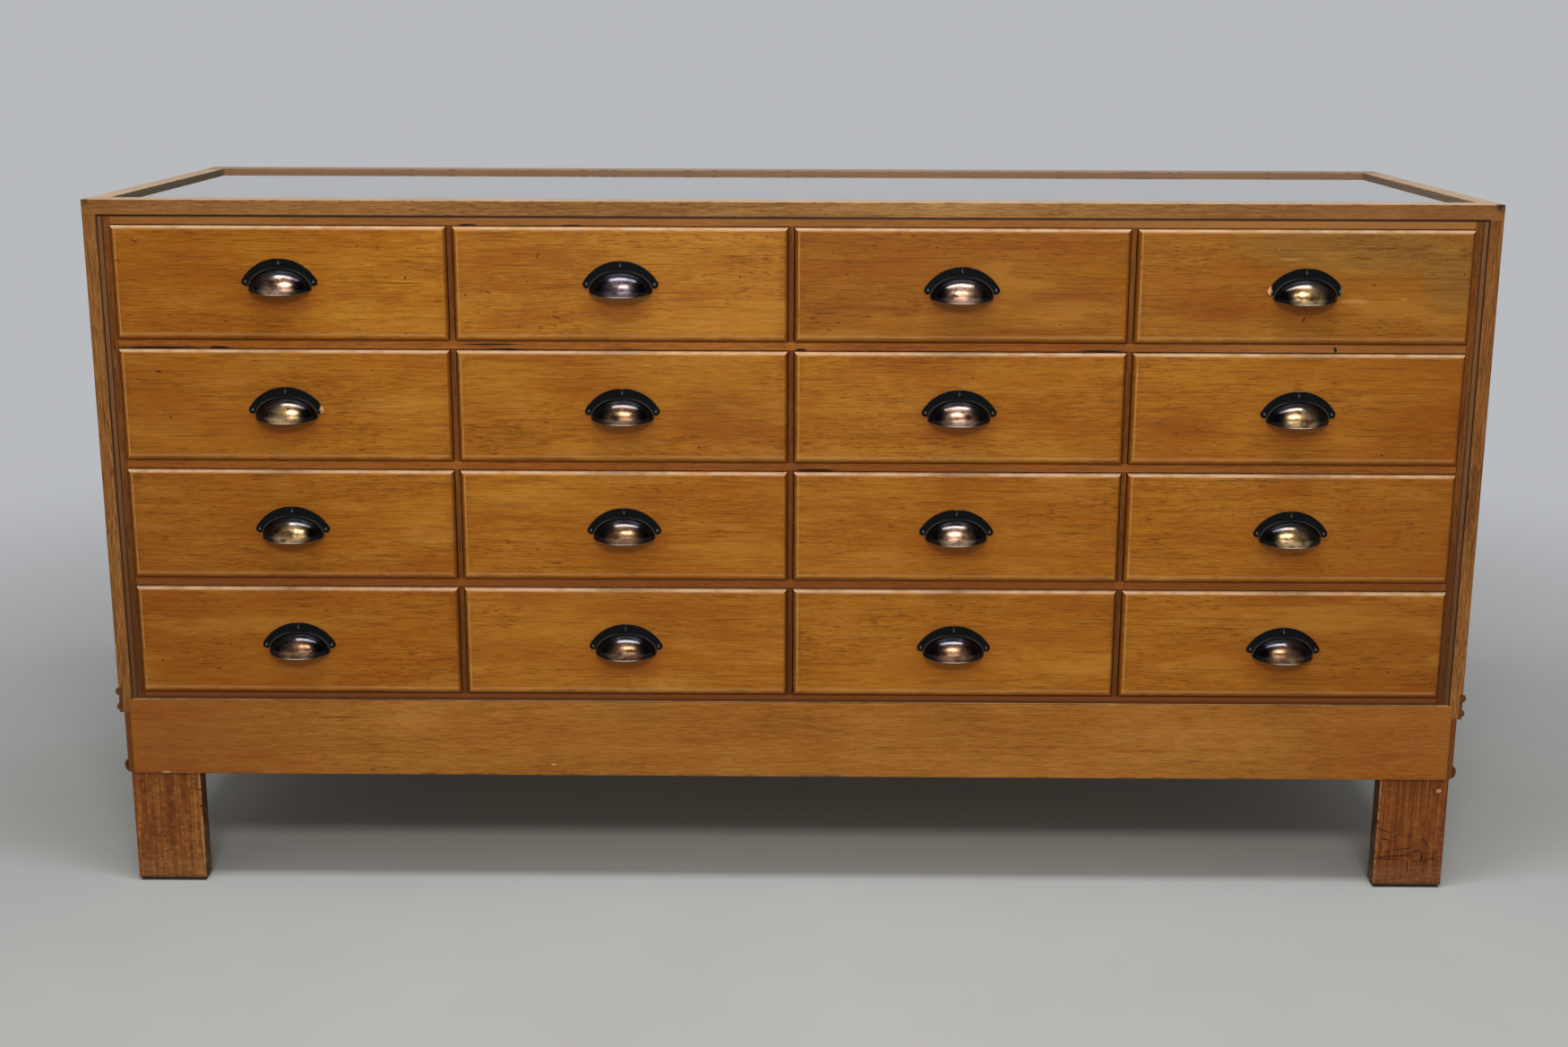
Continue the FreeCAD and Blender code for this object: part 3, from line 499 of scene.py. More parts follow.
def worn_and_shaded_frame(tree, place, colour):
    """The frame of the top, with browner ends, a chipped arris, battered corners, a pale top that is
    partly worn and partly painted sheen, painted shade round the glass and a painted shadow under the
    frame.
    """
    colour = rubbed_top_with_sheen_and_shade(tree, place, colour)
    x, y, z = tree.split(place)
    _, toward_y, toward_z = tree.split(tree.facing())
    front = tree.times(tree.fall(toward_y, -0.9, -0.5), tree.below(y, frame_low.y + FRONT_FACE_DEPTH))
    ends = tree.plus(tree.times(tree.fall(x, *FRAME_LEFT_END), 0.45),
                     tree.times(tree.rise(x, *FRAME_RIGHT_END), 0.75))
    colour = tree.tint(colour, tree.times(front, ends), 0.75, FRAME_TONES["brown ends"])

    arris = tree.times(tree.near(z, frame_high.z, 3.0 * MM), tree.fall(toward_z, 0.75, 0.95, 1.0, 0.10))
    chips = tree.rise(tree.noise(place, (60.0, 60.0, 60.0), 3.0), 0.52, 0.62)
    colour = tree.tint(colour, tree.times(arris, chips), 0.50)
    right = ball(tree, place, (frame_high.x, frame_low.y, frame_high.z), 15 * MM)
    left = ball(tree, place, (frame_low.x, frame_low.y, frame_high.z), 12 * MM)
    colour = tree.tint(colour, right, 0.85, FRAME_TONES["right corner"])
    colour = tree.tint(colour, left, 0.60, FRAME_TONES["left corner"])

    from_end = tree.minus(frame_high.x, tree.size(x))
    mitred = tree.below(from_end, tree.minus(frame_high.z, z))
    corner = tree.times(mitred, tree.fall(toward_y, -0.8, -0.4))
    colour = tree.tint(colour, corner, 0.45, UMBER["base"])
    # Painted shadow along the underside of the frame over the nest.
    over_nest = tree.below(tree.size(x), uprights_high.x + 1 * MM)
    under = tree.times(tree.near(z, frame_low.z, 2.4 * MM), over_nest)
    return tree.tint(colour, under, 0.95, FRAME_TONES["underside"])


def nest_joint(tree, x):
    """1 where the nest of rails and uprights meets the side panels."""
    return tree.near(tree.size(x), uprights_high.x, 2.0 * MM)


def lit_and_shaded_panel(tree, place, colour):
    """Side panels, with painted light warming and lightening their broad faces, and painted shade along
    their joint with the nest.
    """
    x = tree.split(place)[0]
    toward_x = tree.split(tree.facing())[0]
    # Painted light: the broad faces are lightened where little light falls on them.
    broad = tree.rise(tree.size(toward_x), 0.6, 0.9)
    colour = tree.tint(colour, broad, 0.55, SIDE_TONES["broad face"])
    # Painted shade in the joint with the nest.
    return tree.tint(colour, nest_joint(tree, x), 0.9)


def worn_moulding(tree, place, colour):
    """Mouldings black with old polish in their hollows and along their joint with the panels."""
    x = tree.split(place)[0]
    grime = tree.noise(place, (40.0, 25.0, 90.0), 3.0, 0.6)
    colour = tree.tint(colour, tree.rise(grime, 0.34, 0.60), 0.50, SIDE_TONES["old polish"])
    joint = tree.near(tree.size(x), mouldings_high.x - BEAD_JOINT, 1.4 * MM)
    return tree.tint(colour, joint, 0.85, SIDE_TONES["moulding joint"])


def in_nest(tree, place, colour):
    """Painted shade along the lines round the nest, and bare wood a little way behind its front edge."""
    x, y, z = tree.split(place)
    # Painted shade in the joint with the side panels and under the frame.
    colour = tree.tint(colour, nest_joint(tree, x), 0.9)
    colour = tree.tint(colour, tree.near(z, frame_low.z, 2.6 * MM), 0.95)
    deep = tree.rise(y, rails_low.y + 3 * MM, rails_low.y + 30 * MM)
    return tree.tint(colour, deep, 0.8, BARE["deep"])


def toned_and_shaded_rails(tree, place, colour):
    """Front rails, browner towards the floor, with painted shade just above the apron, under the lowest
    drawers and in the gaps where a drawer sits unevenly.
    """
    x, _, z = tree.split(place)
    low = tree.fall(z, rails_low.z - 0.06, rails_low.z + 0.49)
    colour = tree.mix(low, colour, RAIL_TONES["low"])
    top = tree.rise(z, rails_high.z - 0.05, rails_high.z - 0.02)
    colour = tree.tint(colour, top, 0.45, RAIL_TONES["top rail"])
    upper_right = tree.times(tree.rise(z, rails_high.z - 0.26, rails_high.z - 0.14),
                             tree.rise(x, 0.30, 0.62))
    colour = tree.tint(colour, upper_right, 0.40, RAIL_TONES["right"])
    # Painted shade: a dark line just above the apron, and another under the drawers of the lowest row.
    foot = tree.fall(z, rails_low.z + 3.0 * MM, rails_low.z + 5.5 * MM)
    colour = tree.tint(colour, foot, 0.55, RAIL_TONES["foot"])
    colour = tree.tint(colour, tree.near(z, rails_low.z + 11 * MM, 2.6 * MM), 0.6)
    # Painted shade in the gaps where a drawer sits unevenly.
    for _, _, name in drawer_names():
        gap = marked(tree, place, drawer_middle(name), name, "gap")
        colour = tree.tint(colour, gap, 0.92, RAIL_TONES["gap"])
    return in_nest(tree, place, colour)


def toned_and_shaded_uprights(tree, place, colour):
    """Dark partitions; the inner sides have a greyer strip beside the side panels; painted shade along
    the lines round the nest.
    """
    x, _, z = tree.split(place)
    inward = tree.minus(uprights_high.x, tree.size(x))
    colour = tree.tint(colour, tree.below(inward, GREY_EDGE), 0.75, UPRIGHT_TONES["grey edge"])
    colour = tree.tint(colour, tree.near(inward, GREY_EDGE, 1.6 * MM), 0.8)
    low = tree.fall(z, uprights_low.z, uprights_low.z + 0.40, 0.55, 0.05)
    colour = tree.mix(low, colour, UPRIGHT_TONES["low"])
    middle = tree.fall(tree.size(x), 0.10, 0.30, 0.30)
    colour = tree.mix(middle, colour, UPRIGHT_TONES["middle"])
    return in_nest(tree, place, colour)


def worn_plinth(tree, place, colour):
    """The plinth, redder and darker at its ends, with the skirtings' end grain beside the apron."""
    x, _, z = tree.split(place)
    edge = tree.near(z, plinth_low.z, 4.0 * MM)
    rub = tree.rise(tree.noise(place, (30.0, 30.0, 120.0), 3.0), 0.48, 0.66)
    colour = tree.tint(colour, tree.times(edge, rub), 0.55)
    colour = tree.tint(colour, tree.fall(x, *APRON_LEFT_END), 0.50, PLINTH_TONES["left end"])
    colour = tree.tint(colour, tree.rise(x, *APRON_RIGHT_END), 0.38, PLINTH_TONES["right end"])
    ends = tree.rise(tree.size(x), plinth_high.x - SKIRTING_END[0], plinth_high.x - SKIRTING_END[1])
    colour = tree.tint(colour, ends, 0.62, PLINTH_TONES["end grain"])
    origin = Vector((0.0, plinth_low.y, 0.0))
    stain = marked(tree, place, origin, "apron", "stain")
    colour = tree.tint(colour, stain, 0.40, PLINTH_TONES["stain"])
    colour = tree.tint(colour, marked(tree, place, origin, "apron", "dent"), 0.80)
    return tree.tint(colour, marked(tree, place, origin, "apron", "bare"), 0.60, PLINTH_TONES["bare"])


def leg_strips(tree, inward, right, colour):
    """Vertical strips of unlike wood, and the seams between them. The right legs are darker."""
    left = tree.minus(1.0, right)
    colour = tree.tint(colour, right, 0.72, LEG_TONES["right leg"])
    colour = tree.tint(colour, tree.below(inward, OUTER_STRIP), 0.45, LEG_TONES["outer strip"])
    inner = tree.times(tree.above(inward, INNER_STRIP), left)
    colour = tree.tint(colour, inner, 0.35, LEG_TONES["inner strip"])
    for line, reach, depth in LEG_SEAMS:
        shown = tree.minus(1.0, tree.times(right, 0.7))
        seam = tree.times(tree.near(inward, line * MM, reach * MM), shown)
        colour = tree.tint(colour, seam, depth)
    return colour


def leg_figure(tree, place, right, colour):
    """Flecks, upright reeds and red blotches in the wood of the legs, weaker flecks on the right."""
    mottle = tree.noise(place, (170.0, 170.0, 190.0), 3.0, 0.6)
    dark = tree.minus(0.52, tree.times(right, 0.22))
    colour = tree.tint(colour, tree.rise(mottle, 0.53, 0.66), dark, LEG_TONES["dark fleck"])
    pale = tree.minus(0.40, tree.times(right, 0.22))
    colour = tree.tint(colour, tree.fall(mottle, 0.34, 0.47), pale, LEG_TONES["pale fleck"])
    reeds = tree.noise(place, (300.0, 300.0, 9.0), 2.0, 0.6)
    colour = tree.tint(colour, tree.rise(reeds, 0.46, 0.62), 0.38, LEG_TONES["dark reed"])
    colour = tree.tint(colour, tree.fall(reeds, 0.36, 0.50), 0.26, LEG_TONES["pale reed"])
    blotch = tree.noise(place, (22.0, 22.0, 16.0), 3.0, 0.6)
    return tree.tint(colour, tree.rise(blotch, 0.46, 0.62), 0.30, LEG_TONES["blotch"])


def scratched(tree, place, right, colour):
    """Crossing scratches on the lower half of the legs, more of them on the right ones."""
    z = tree.split(place)[2]
    wander = tree.noise(place, (38.0, 38.0, 38.0))
    bend = tree.times(tree.minus(wander, 0.5), 0.035)
    bent = tree.vector("ADD", place, tree.join(bend, 0.0, bend))
    inputs = {"Vector": tree.vector("MULTIPLY", bent, (34.0, 0.0, 88.0)), "Scale": 1.0}
    away = tree.node("TexVoronoi", inputs, feature="DISTANCE_TO_EDGE").outputs["Distance"]
    broken = tree.rise(tree.noise(place, (60.0, 60.0, 60.0)), 0.44, 0.56)
    line = tree.times(tree.fall(away, 0.012, 0.05), broken)
    height = tree.fall(z, legs_low.z + 70 * MM, legs_low.z + 100 * MM)
    share = tree.plus(tree.times(right, 0.45), 0.12)
    colour = tree.tint(colour, line, tree.times(height, share), LEG_TONES["scratch"])
    worn = tree.noise(place, (24.0, 24.0, 520.0), 2.0, 0.6)
    foot = tree.fall(z, legs_low.z + 20 * MM, legs_low.z + 36 * MM)
    return tree.tint(colour, foot, tree.rise(worn, 0.40, 0.60, 0.10, 0.50), LEG_TONES["worn foot"])


def worn_and_shaded_legs(tree, place, colour):
    """Legs glued up from vertical strips, scuffed and soiled towards the floor, with painted shade on
    their inner faces.
    """
    x, _, z = tree.split(place)
    inward = tree.minus(legs_high.x, tree.size(x))
    right = tree.above(x, 0.0)
    colour = leg_strips(tree, inward, right, colour)
    colour = leg_figure(tree, place, right, colour)
    colour = scratched(tree, place, right, colour)
    low = tree.fall(z, 0.01, 0.13)
    scuff = tree.rise(tree.noise(place, (60.0, 60.0, 300.0), 3.0, 0.6), 0.54, 0.70)
    colour = tree.tint(colour, tree.times(low, scuff), 0.5)
    # Painted shade on the faces that look in towards the middle.
    toward_x = tree.split(tree.facing())[0]
    inside = tree.times(tree.times(toward_x, tree.math("SIGN", x)), -1.0)
    colour = tree.tint(colour, tree.rise(inside, 0.75, 0.95), 0.85, LEG_TONES["inside"])
    arris = tree.near(inward, LEG_WIDTH - 1.2 * MM, 1.6 * MM)
    rubbed = tree.rise(tree.noise(place, (50.0, 50.0, 70.0), 3.0), 0.40, 0.58)
    colour = tree.tint(colour, tree.times(arris, rubbed), 0.45, LEG_TONES["arris"])
    origin = Vector((0.0, legs_low.y, 0.0))
    colour = tree.tint(colour, marked(tree, place, origin, "leg", "dent"), 0.92, LEG_TONES["dent"])
    colour = tree.tint(colour, marked(tree, place, origin, "leg", "bare"), 0.75, LEG_TONES["bare"])
    return tree.tint(colour, tree.near(z, legs_low.z, 5.0 * MM), 0.45)


def glide_material():
    material, tree = new_material("glide_black")
    grain = tree.noise(tree.place(), (400.0, 400.0, 400.0))
    colour = tree.mix(grain, srgb(22, 20, 18), srgb(44, 38, 32))
    surface(tree, {"Base Color": colour, "Roughness": 0.8, "Normal": tree.bump(grain, 0.3, 0.2 * MM)})
    return material


def glass_material():
    """Float glass with a faint green body and a breath of dust."""
    material, tree = new_material("top_glass")
    dust = tree.noise(tree.place(), (7.0, 7.0, 7.0), 4.0, 0.6)
    surface(tree, {"Base Color": srgb(232, 240, 237), "Roughness": tree.rise(dust, 0.3, 0.8, 0.0, 0.05),
                   "IOR": 1.52, "Transmission Weight": 1.0, "Coat Weight": 1.0, "Coat Roughness": 0.02,
                   "Coat IOR": 1.5})
    return material


def dress_case():
    wear("top_frame", two_way_wood("top_frame_oak", OAK, "XY", on_side_rail, 1, worn_and_shaded_frame, 0.5))
    wear("side_panels", plain_wood("side_panel_umber", UMBER, "Z", 2, lit_and_shaded_panel, 0.4))
    wear("side_mouldings", plain_wood("moulding_umber", UMBER, "Y", 3, worn_moulding, 0.4))
    wear("front_rails", plain_wood("rail_russet", RUSSET, "X", 4, toned_and_shaded_rails))
    wear("uprights", plain_wood("upright_walnut", WALNUT, "Z", 5, toned_and_shaded_uprights))
    wear("drawer_runners", plain_wood("runner_sawn", SAWN, "Y", 6))
    wear("bottom_board", plain_wood("bottom_sawn", SAWN, "X", 7))
    wear("back_panel", plain_wood("back_ply", PLY, "X", 8))
    wear("plinth", two_way_wood("plinth_apron", APRON, "XY", on_skirting, 9, worn_plinth))
    wear("legs", plain_wood("leg_chestnut", CHESTNUT, "Z", 10, worn_and_shaded_legs))
    wear("foot_glides", glide_material())
    wear("glass_top", glass_material())


# ------------------------------------------------------------------ drawers
# How far the varnish of a drawer has turned to another colour.
TINTS = {"r1c3": (0.52, (116, 64, 4)), "r1c4": (0.34, (114, 72, 24)), "r2c2": (0.16, (120, 66, 12)),
         "r2c1": (0.05, (176, 126, 50)), "r2c3": (0.14, (126, 70, 14)), "r2c4": (0.08, (120, 68, 16)),
         "r1c2": (0.12, (184, 134, 58)), "r3c2": (0.06, (150, 80, 14)), "r3c3": (0.10, (126, 66, 10)),
         "r4c2": (0.06, (190, 132, 54)), "r4c1": (0.08, (146, 68, 4))}

# The old colour is painted light falloff towards the ends, and also darkens the fronts towards the foot;
# the sides and underside colours are painted shade; the pale top, left arris and foot arris colours are
# painted highlights, the first two partly rubbed varnish as well; the halo is partly hand soiling and
# partly painted shadow.
FRONT_TONES = {"old": srgb(122, 64, 10), "veil": srgb(124, 98, 48), "stain": srgb(118, 54, 8),
               "dirty edge": srgb(96, 46, 8), "dark smear": srgb(134, 66, 10),
               "pale smear": srgb(186, 132, 52), "halo": srgb(130, 62, 10), "dent": srgb(46, 22, 6),
               "bare": srgb(190, 146, 92), "sides": srgb(92, 44, 12), "underside": srgb(104, 46, 4),
               "rubbed top and highlight": srgb(200, 168, 134), "left arris": srgb(204, 152, 88),
               "foot arris": srgb(186, 140, 92)}


def aged_with_falloff_shade(tree, place, name, colour):
    """Painted light falloff that darkens the fronts towards the ends, darker also towards the foot of the
    counter, and a tint front by front.
    """
    x, _, z = tree.split(place)
    # Painted shade: darker towards the ends as the light falls off, and darker towards the foot.
    outer = tree.rise(tree.size(x), 0.45, 0.89, 0.0, 0.42)
    lower = tree.fall(z, 0.30, 0.85, 0.28)
    colour = tree.mix(tree.plus(outer, lower, clamp=True), colour, FRONT_TONES["old"])
    if name in TINTS:
        share, tone = TINTS[name]
        colour = tree.mix(share, colour, srgb(*tone))
    middle = drawer_middle(name)
    colour = tree.tint(colour, marked(tree, place, middle, name, "veil"), 0.45, FRONT_TONES["veil"])
    return tree.tint(colour, marked(tree, place, middle, name, "stain"), 0.40, FRONT_TONES["stain"])


def handled_and_shadowed(tree, place, x, z, seed, colour):
    """Smears in the varnish, and a darker halo round the cup, partly left by hands and partly painted
    shadow.
    """
    moved = tree.vector("ADD", place, (0.0, seed * 0.37, 0.0))
    smear = tree.noise(moved, (5.0, 5.0, 26.0), 4.0, 0.62)
    colour = tree.tint(colour, tree.rise(smear, 0.50, 0.66), 0.36, FRONT_TONES["dark smear"])
    colour = tree.tint(colour, tree.fall(smear, 0.34, 0.48), 0.26, FRONT_TONES["pale smear"])
    from_cup = tree.vector("MULTIPLY", tree.join(x, 0.0, tree.plus(z, HALO_DROP)),
                           (1 / HALO_HALF_WIDTH, 0.0, 1 / HALO_HALF_HEIGHT))
    # The halo is partly hand soiling and partly painted shadow below the cup.
    halo = tree.fall(tree.length(from_cup), 0.40, 1.0)
    return tree.tint(colour, halo, 0.46, FRONT_TONES["halo"])


def dents_of(tree, place, name):
    """Rare specks all over a front, and the dents that are marked on it."""
    away, chance = tree.cells(place, (34.0, 34.0, 46.0))
    rare = tree.above(tree.split(chance)[0], 0.80)
    speck = tree.times(tree.fall(away, 0.035, 0.085), rare)
    return tree.either(speck, marked(tree, place, drawer_middle(name), name, "dent"))


def rounded_edges(tree, from_left, from_foot, side, end, patch, colour):
    """Painted shade on the sides and the underside, a pale top edge that is partly rubbed and partly a
    painted highlight, a line beside the left rounding that is the same, and a painted highlight above the
    foot.
    """
    toward_x, _, toward_z = tree.split(tree.facing())
    # Painted shade on the sides and the underside of the rounding.
    sideways = tree.rise(tree.size(toward_x), 0.22, 0.70)
    colour = tree.tint(colour, sideways, 0.66, FRONT_TONES["sides"])
    colour = tree.tint(colour, tree.fall(toward_z, -0.75, -0.25), 0.66, FRONT_TONES["underside"])
    # The top of the rounding: partly rubbed varnish and partly a painted highlight.
    up = tree.rise(toward_z, 0.25, 0.72)
    rubbed = tree.times(up, tree.rise(patch, 0.32, 0.60, 0.45, 0.95))
    colour = tree.tint(colour, rubbed, 0.76, FRONT_TONES["rubbed top and highlight"])
    # Along the left arris: partly rubbed varnish and partly a painted highlight.
    arris = tree.times(tree.near(from_left, LEFT_ARRIS, 1.5 * MM), tree.above(end, 5 * MM))
    arris = tree.times(arris, tree.rise(patch, 0.35, 0.55, 0.35, 1.0))
    colour = tree.tint(colour, arris, 0.42, FRONT_TONES["left arris"])
    # Painted highlight along the arris above the foot.
    arris = tree.times(tree.near(from_foot, FOOT_ARRIS, 2.6 * MM), tree.above(side, 5 * MM))
    return tree.tint(colour, arris, 0.30, FRONT_TONES["foot arris"])


def front_material(name, seed):
    """The honey-coloured front of one drawer, with a rounded edge that is rubbed in places, and painted
    shade and highlights on it.
    """
    low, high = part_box("drawer_" + name + "_front")
    half = (high - low) / 2
    middle = drawer_middle(name)
    material, tree = new_material("front_" + name)
    place = tree.place()
    board = board_space(tree, place, "X")
    facing = board_space(tree, tree.facing(), "X")
    colour, height, rough = wood_layers(tree, board, facing, HONEY, seed,
                                        lambda plain: aged_with_falloff_shade(tree, place, name, plain))

    x, _, z = tree.split(tree.vector("SUBTRACT", place, tuple(middle)))
    side = tree.minus(half.x, tree.size(x))
    end = tree.minus(half.z, tree.size(z))
    patch = tree.noise(place, (38.0, 38.0, 38.0), 4.0, 0.6)
    edge = tree.times(tree.fall(tree.math("MINIMUM", side, end), 5 * MM, 16 * MM),
                      tree.rise(patch, 0.42, 0.62))
    colour = tree.tint(colour, edge, 0.28, FRONT_TONES["dirty edge"])
    colour = handled_and_shadowed(tree, place, x, z, seed, colour)
    dent = dents_of(tree, place, name)
    colour = tree.tint(colour, dent, 0.80, FRONT_TONES["dent"])
    colour = tree.tint(colour, marked(tree, place, middle, name, "bare"), 0.36, FRONT_TONES["bare"])
    from_left = tree.plus(x, half.x)
    from_foot = tree.plus(z, half.z)
    colour = rounded_edges(tree, from_left, from_foot, side, end, patch, colour)
    wood_surface(tree, colour, tree.minus(height, dent), rough, HONEY)
    return material


def box_material(name, seed):
    """Bare sides with their grain along Y; the back and the bottom along X."""
    low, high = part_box("drawer_" + name + "_box")
    middle = (low.x + high.x) / 2
    half = (high.x - low.x) / 2

    def on_side(tree, place):
        away = tree.size(tree.minus(tree.split(place)[0], middle))
        return tree.above(away, half - BOX_SIDE)

    return two_way_wood("box_" + name, BARE, "XY", on_side, seed)


# ------------------------------------------------------------------ handles
# What shows where fingers have rubbed the black off a cup, dim to bright, and the handles it is on.
RUBBED_METALS = {"copper": (srgb(96, 66, 52), srgb(216, 176, 150)),
                 "gold": (srgb(98, 72, 46), srgb(228, 190, 138)),
                 "dull": (srgb(78, 54, 40), srgb(172, 132, 100)),
                 "grey": (srgb(56, 48, 54), srgb(132, 116, 122))}
CUP_WEAR = {"r1c1": "copper", "r1c2": "grey", "r1c3": "copper", "r1c4": "gold", "r2c1": "gold",
            "r2c3": "copper", "r2c4": "gold", "r3c1": "gold", "r3c3": "copper", "r3c4": "gold"}
# Ears worn down to bare metal: handle, side, reach and share.
WORN_EARS = (("r1c4", "left", 12 * MM, 1.0), ("r1c4", "right", 12 * MM, 0.35),
             ("r2c1", "right", 10 * MM, 0.8))
# The crown colour is a painted reflection on the top of the dome; the lip, crease, seam and screw colours
# are painted highlights and glints, the lip partly worn metal as well.
CUP_TONES = {"flange": srgb(11, 12, 12), "dome": srgb(32, 30, 33), "crown": srgb(68, 72, 81),
             "lip": srgb(218, 210, 202), "crease": srgb(104, 102, 104), "seam": srgb(96, 90, 86),
             "screw": srgb(128, 122, 116), "rim": srgb(168, 120, 84), "ear": srgb(206, 156, 104)}

cup_low, cup_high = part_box("drawer_r1c4_handle")
CUP_HALF_WIDTH = (cup_high.x - cup_low.x) / 2
CUP_HEIGHT = cup_high.z - cup_low.z


def cup_lines(tree, aside, up, out, lip, colour):
    """Painted highlights: the bright lip, partly worn metal as well, a light line along the crease round
    the dome, and glints on the seam over it and on the heads of the screws.
    """
    colour = tree.tint(colour, lip, 0.70, CUP_TONES["lip"])
    # Painted highlight along the crease round the dome.
    crease_x = tree.times(aside, CUP_HALF_WIDTH / CREASE_HALF_WIDTH)
    from_axis = tree.minus(up, 1.0 - CUP_AXIS_DROP / CUP_HEIGHT)
    crease_z = tree.times(from_axis, CUP_HEIGHT / CREASE_RISE)
    ring = tree.near(tree.length(tree.join(crease_x, crease_z, 0.0)), 1.0, 0.065)
    ring = tree.times(ring, tree.rise(aside, 0.12, 0.50, 0.15, 1.0))
    crease = tree.times(ring, tree.rise(out, 0.55, 0.60))
    colour = tree.tint(colour, crease, 0.17, CUP_TONES["crease"])
    # Painted glint along the seam over the dome.
    seam = tree.times(tree.fall(aside, 0.006, 0.026), tree.rise(up, 0.76, 0.80))
    colour = tree.tint(colour, seam, 0.14, CUP_TONES["seam"])
    # Painted glints on the heads of the screws.
    for x, drop, shine in ((EAR_SPREAD, EAR_DROP, 0.60), (0.0, TOP_SCREW_DROP, 0.30)):
        off_x = tree.times(tree.minus(aside, x / CUP_HALF_WIDTH), CUP_HALF_WIDTH)
        off_z = tree.times(tree.minus(up, 1.0 - drop / CUP_HEIGHT), CUP_HEIGHT)
        head = tree.fall(tree.length(tree.join(off_x, off_z, 0.0)), 0.8 * MM, 2.0 * MM)
        colour = tree.tint(colour, head, shine, CUP_TONES["screw"])
    return colour


def worn_ears(tree, place, aside):
    """1 on the tips of the few ears that are worn down to bare metal."""
    front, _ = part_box("drawer_r1c4_front")
    worn = 0.0
    for name, which, reach, share in WORN_EARS:
        low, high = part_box("drawer_" + name + "_handle")
        x = low.x + EAR_TIP_INSET if which == "left" else high.x - EAR_TIP_INSET
        tip = ball(tree, place, (x, front.y, high.z - EAR_TIP_DROP), reach)
        worn = tree.either(worn, tree.times(tip, share))
    return tree.times(worn, tree.rise(aside, 0.88, 0.95))


def bronze_material(kind):
    """Blackened bronze, rubbed through to brighter metal where fingers hold it, with a painted reflection
    on the crown of the dome and painted highlights on its lines.
    """
    material, tree = new_material("cup_" + kind)
    place = tree.place()
    across, out, up = tree.split(tree.node("TexCoord", {}).outputs["Generated"])
    beside = tree.times(tree.minus(across, 0.5), 2.0)
    aside = tree.size(beside)
    dome = tree.fall(out, 0.54, 0.61)
    patch = tree.noise(place, (70.0, 70.0, 120.0), 4.0, 0.6)
    uneven = tree.minus(patch, 0.5)
    spread = tree.join(tree.math("DIVIDE", beside, 0.52), 0.0,
                       tree.math("DIVIDE", tree.minus(up, 0.24), 0.34))
    far = tree.plus(tree.length(spread), tree.times(uneven, 0.7))
    rubbed = tree.times(tree.fall(far, 0.45, 1.15), dome)
    # Painted reflection, bluish grey, on the crown of the dome.
    crown = tree.times(tree.rise(up, 0.34, 0.62), tree.fall(aside, 0.15, 0.60))
    domed = tree.mix(crown, CUP_TONES["dome"], CUP_TONES["crown"])
    dark = tree.mix(dome, CUP_TONES["flange"], domed)
    dim, bright = RUBBED_METALS[kind]
    colour = tree.mix(rubbed, dark, tree.mix(tree.rise(patch, 0.30, 0.62), dim, bright))

    # Painted highlight along the lip, partly worn metal.
    lip = tree.times(tree.fall(up, 0.012, 0.040), tree.fall(aside, 0.18, 0.50))
    colour = cup_lines(tree, aside, up, out, lip, colour)
    rim = tree.times(tree.rise(patch, 0.50, 0.66), tree.rise(up, 0.985, 1.0))
    colour = tree.tint(colour, rim, 0.6, CUP_TONES["rim"])
    colour = tree.mix(worn_ears(tree, place, aside), colour, CUP_TONES["ear"])

    metal = tree.times(tree.times(dome, 0.95), tree.minus(1.0, lip))
    polish = tree.rise(rubbed, 0.0, 0.8, 0.17, 0.27)
    hammer = tree.noise(place, (90.0, 90.0, 130.0))
    surface(tree, {"Base Color": colour, "Metallic": metal,
                   "Roughness": tree.plus(polish, tree.times(uneven, 0.22)),
                   "Normal": tree.bump(hammer, 0.16, 0.6 * MM), "IOR": 1.42, "Specular IOR Level": 0.08,
                   "Coat Weight": 0.06, "Coat Roughness": 0.10, "Coat IOR": 1.5})
    return material


def dress_drawers():
    cups = {kind: bronze_material(kind) for kind in RUBBED_METALS}
    for row, column, name in drawer_names():
        seed = 10 + row * 10 + column
        wear("drawer_" + name + "_front", front_material(name, seed))
        wear("drawer_" + name + "_box", box_material(name, seed))
        wear("drawer_" + name + "_handle", cups[CUP_WEAR.get(name, "dull")])


# ------------------------------------------------------------------ studio
def seen_directly(tree):
    """1 for rays from the camera, and for those that metal and glass pass on."""
    rays = tree.node("LightPath", {}).outputs
    shown = tree.plus(rays["Is Camera Ray"], rays["Is Glossy Ray"], clamp=True)
    return tree.plus(shown, rays["Is Transmission Ray"], clamp=True)


def mix_shaders(tree, share, first, second):
    return tree.node("MixShader", {0: share, 1: first.outputs[0], 2: second.outputs[0]})


def make_floor():
    """A pale floor that fades into the backdrop far from the piece."""
    corners = [(-FLOOR_REACH, -FLOOR_REACH, 0), (FLOOR_REACH, -FLOOR_REACH, 0),
               (FLOOR_REACH, FLOOR_REACH, 0), (-FLOOR_REACH, FLOOR_REACH, 0)]
    mesh = bpy.data.meshes.new("floor")
    mesh.from_pydata(corners, [], [(0, 1, 2, 3)])
    floor = bpy.data.objects.new("floor", mesh)
    bpy.context.scene.collection.objects.link(floor)
    material, tree = new_material("floor_pale")
    place = tree.place()
    cloud = tree.noise(place, (1.4, 1.4, 1.4), 4.0, 0.6)
    colour = tree.mix(tree.rise(cloud, 0.3, 0.7), srgb(*FLOOR_SHADE), srgb(*FLOOR))
    lit = tree.node("BsdfDiffuse", {"Color": colour})
    far = tree.node("Emission", {"Color": srgb(*BACKDROP), "Strength": 1.0})
    fade = tree.times(tree.rise(tree.length(place), *FLOOR_FADE), seen_directly(tree))
    tree.show(mix_shaders(tree, fade, lit, far))
    mesh.materials.append(material)


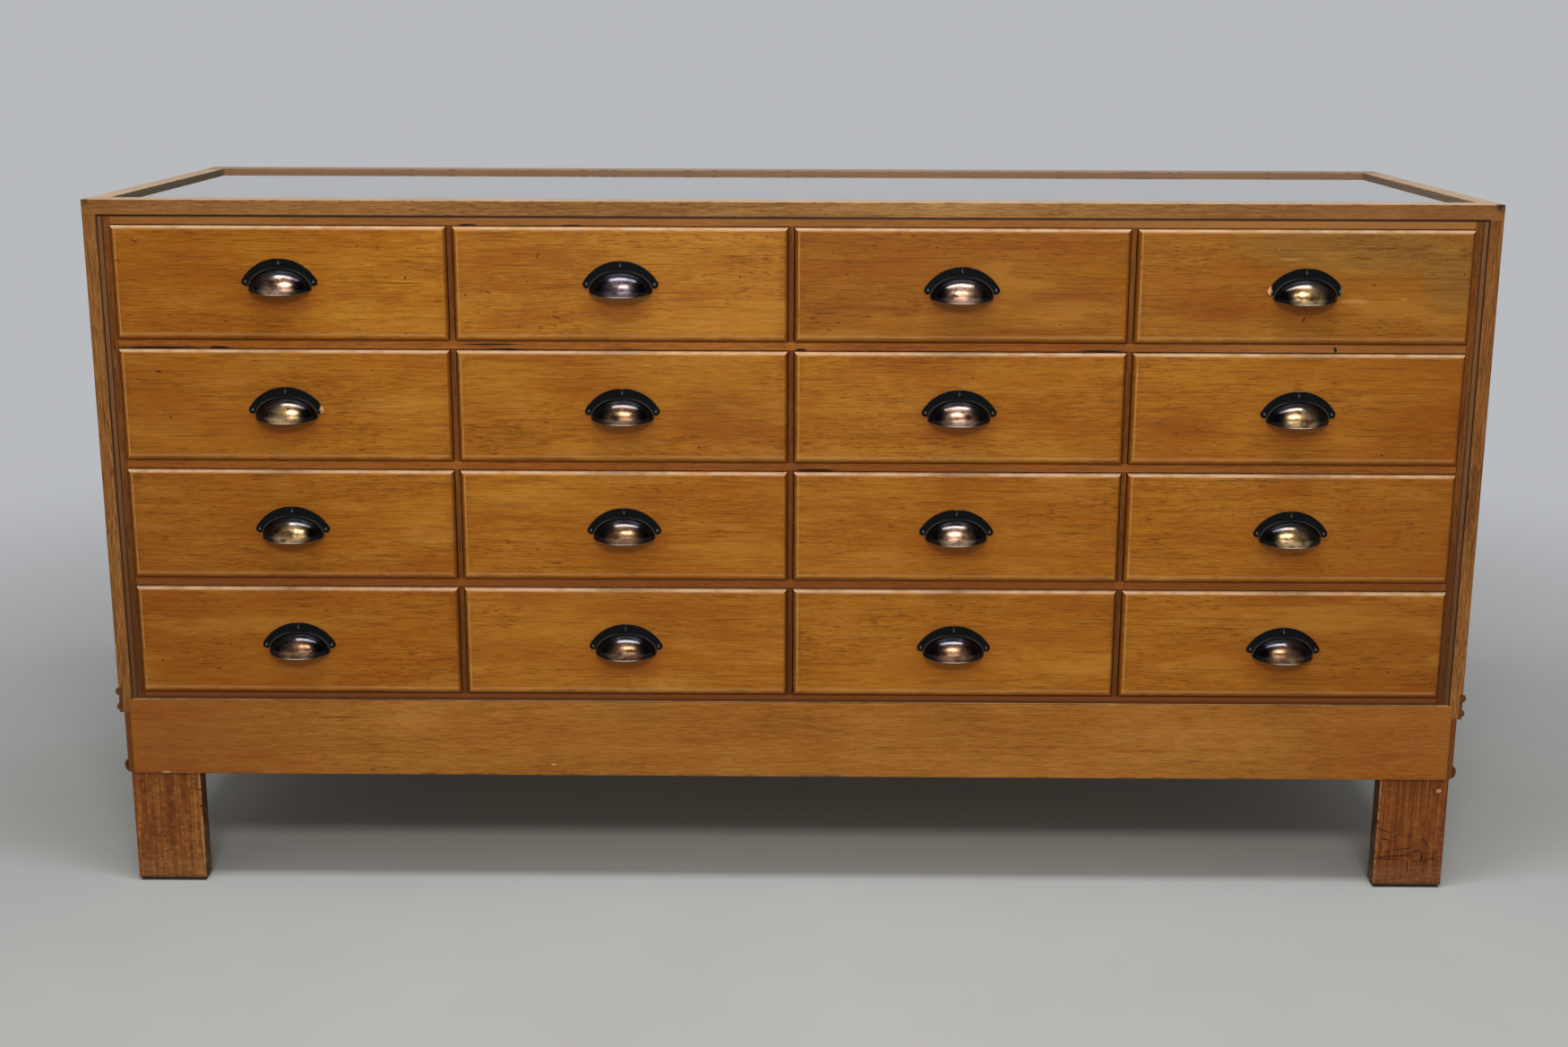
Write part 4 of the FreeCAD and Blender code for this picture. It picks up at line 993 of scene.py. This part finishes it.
def make_world():
    """A pale backdrop for the camera, the glass and the metal, over a soft light from the front."""
    world = bpy.data.worlds.new("studio")
    bpy.context.scene.world = world
    world.use_nodes = True
    tree = Tree(world.node_tree, "ShaderNodeOutputWorld")
    rearward = tree.split(tree.node("TexCoord", {}).outputs["Generated"])[1]
    room = tree.rise(rearward, -0.35, 0.35, ROOM_GLOSS, 1.0)
    camera_ray = tree.node("LightPath", {}).outputs["Is Camera Ray"]
    backdrop = tree.node("Background", {"Color": srgb(*BACKDROP),
                                        "Strength": tree.either(camera_ray, room)})
    soft = tree.rise(rearward, -0.5, 0.5, AMBIENT_FRONT, AMBIENT_REAR)
    ambient = tree.node("Background", {"Color": AMBIENT_COLOUR, "Strength": soft})
    tree.show(mix_shaders(tree, seen_directly(tree), ambient, backdrop))


def softbox(name, place, target, width, height, power, colour):
    light = bpy.data.lights.new(name, "AREA")
    light.shape = "RECTANGLE"
    light.size = width
    light.size_y = height
    light.energy = power
    light.color = colour
    lamp = bpy.data.objects.new(name, light)
    lamp.location = place
    lamp.rotation_euler = (Vector(target) - Vector(place)).to_track_quat("-Z", "Y").to_euler()
    bpy.context.scene.collection.objects.link(lamp)


def make_lights():
    softbox("key", place=(0.1, -3.6, 2.9), target=(0.0, -0.3, 0.5), width=1.5, height=0.55,
            power=66, colour=(1.0, 0.94, 0.85))
    softbox("overhead", place=(0.0, -0.95, 3.3), target=(0.0, -0.3, 0.6), width=2.8, height=0.55,
            power=64, colour=(0.92, 0.96, 1.0))
    softbox("low", place=(0.2, -3.7, 0.95), target=(0.0, -0.3, 0.6), width=1.7, height=0.24,
            power=11, colour=(1.0, 0.94, 0.90))


def make_camera():
    """The camera of the photograph."""
    camera = bpy.data.objects.new("camera", bpy.data.cameras.new("camera"))
    camera.data.sensor_width = SENSOR_WIDTH
    camera.data.lens = CAMERA_LENS
    camera.location = CAMERA_PLACE
    camera.rotation_euler = (math.radians(90 - CAMERA_DOWN), math.radians(-CAMERA_ROLL),
                             math.radians(CAMERA_TURN))
    bpy.context.scene.collection.objects.link(camera)
    bpy.context.scene.camera = camera


make_camera()
dress_case()
dress_drawers()
make_floor()
make_world()
make_lights()
bpy.context.scene.view_settings.view_transform = "Standard"
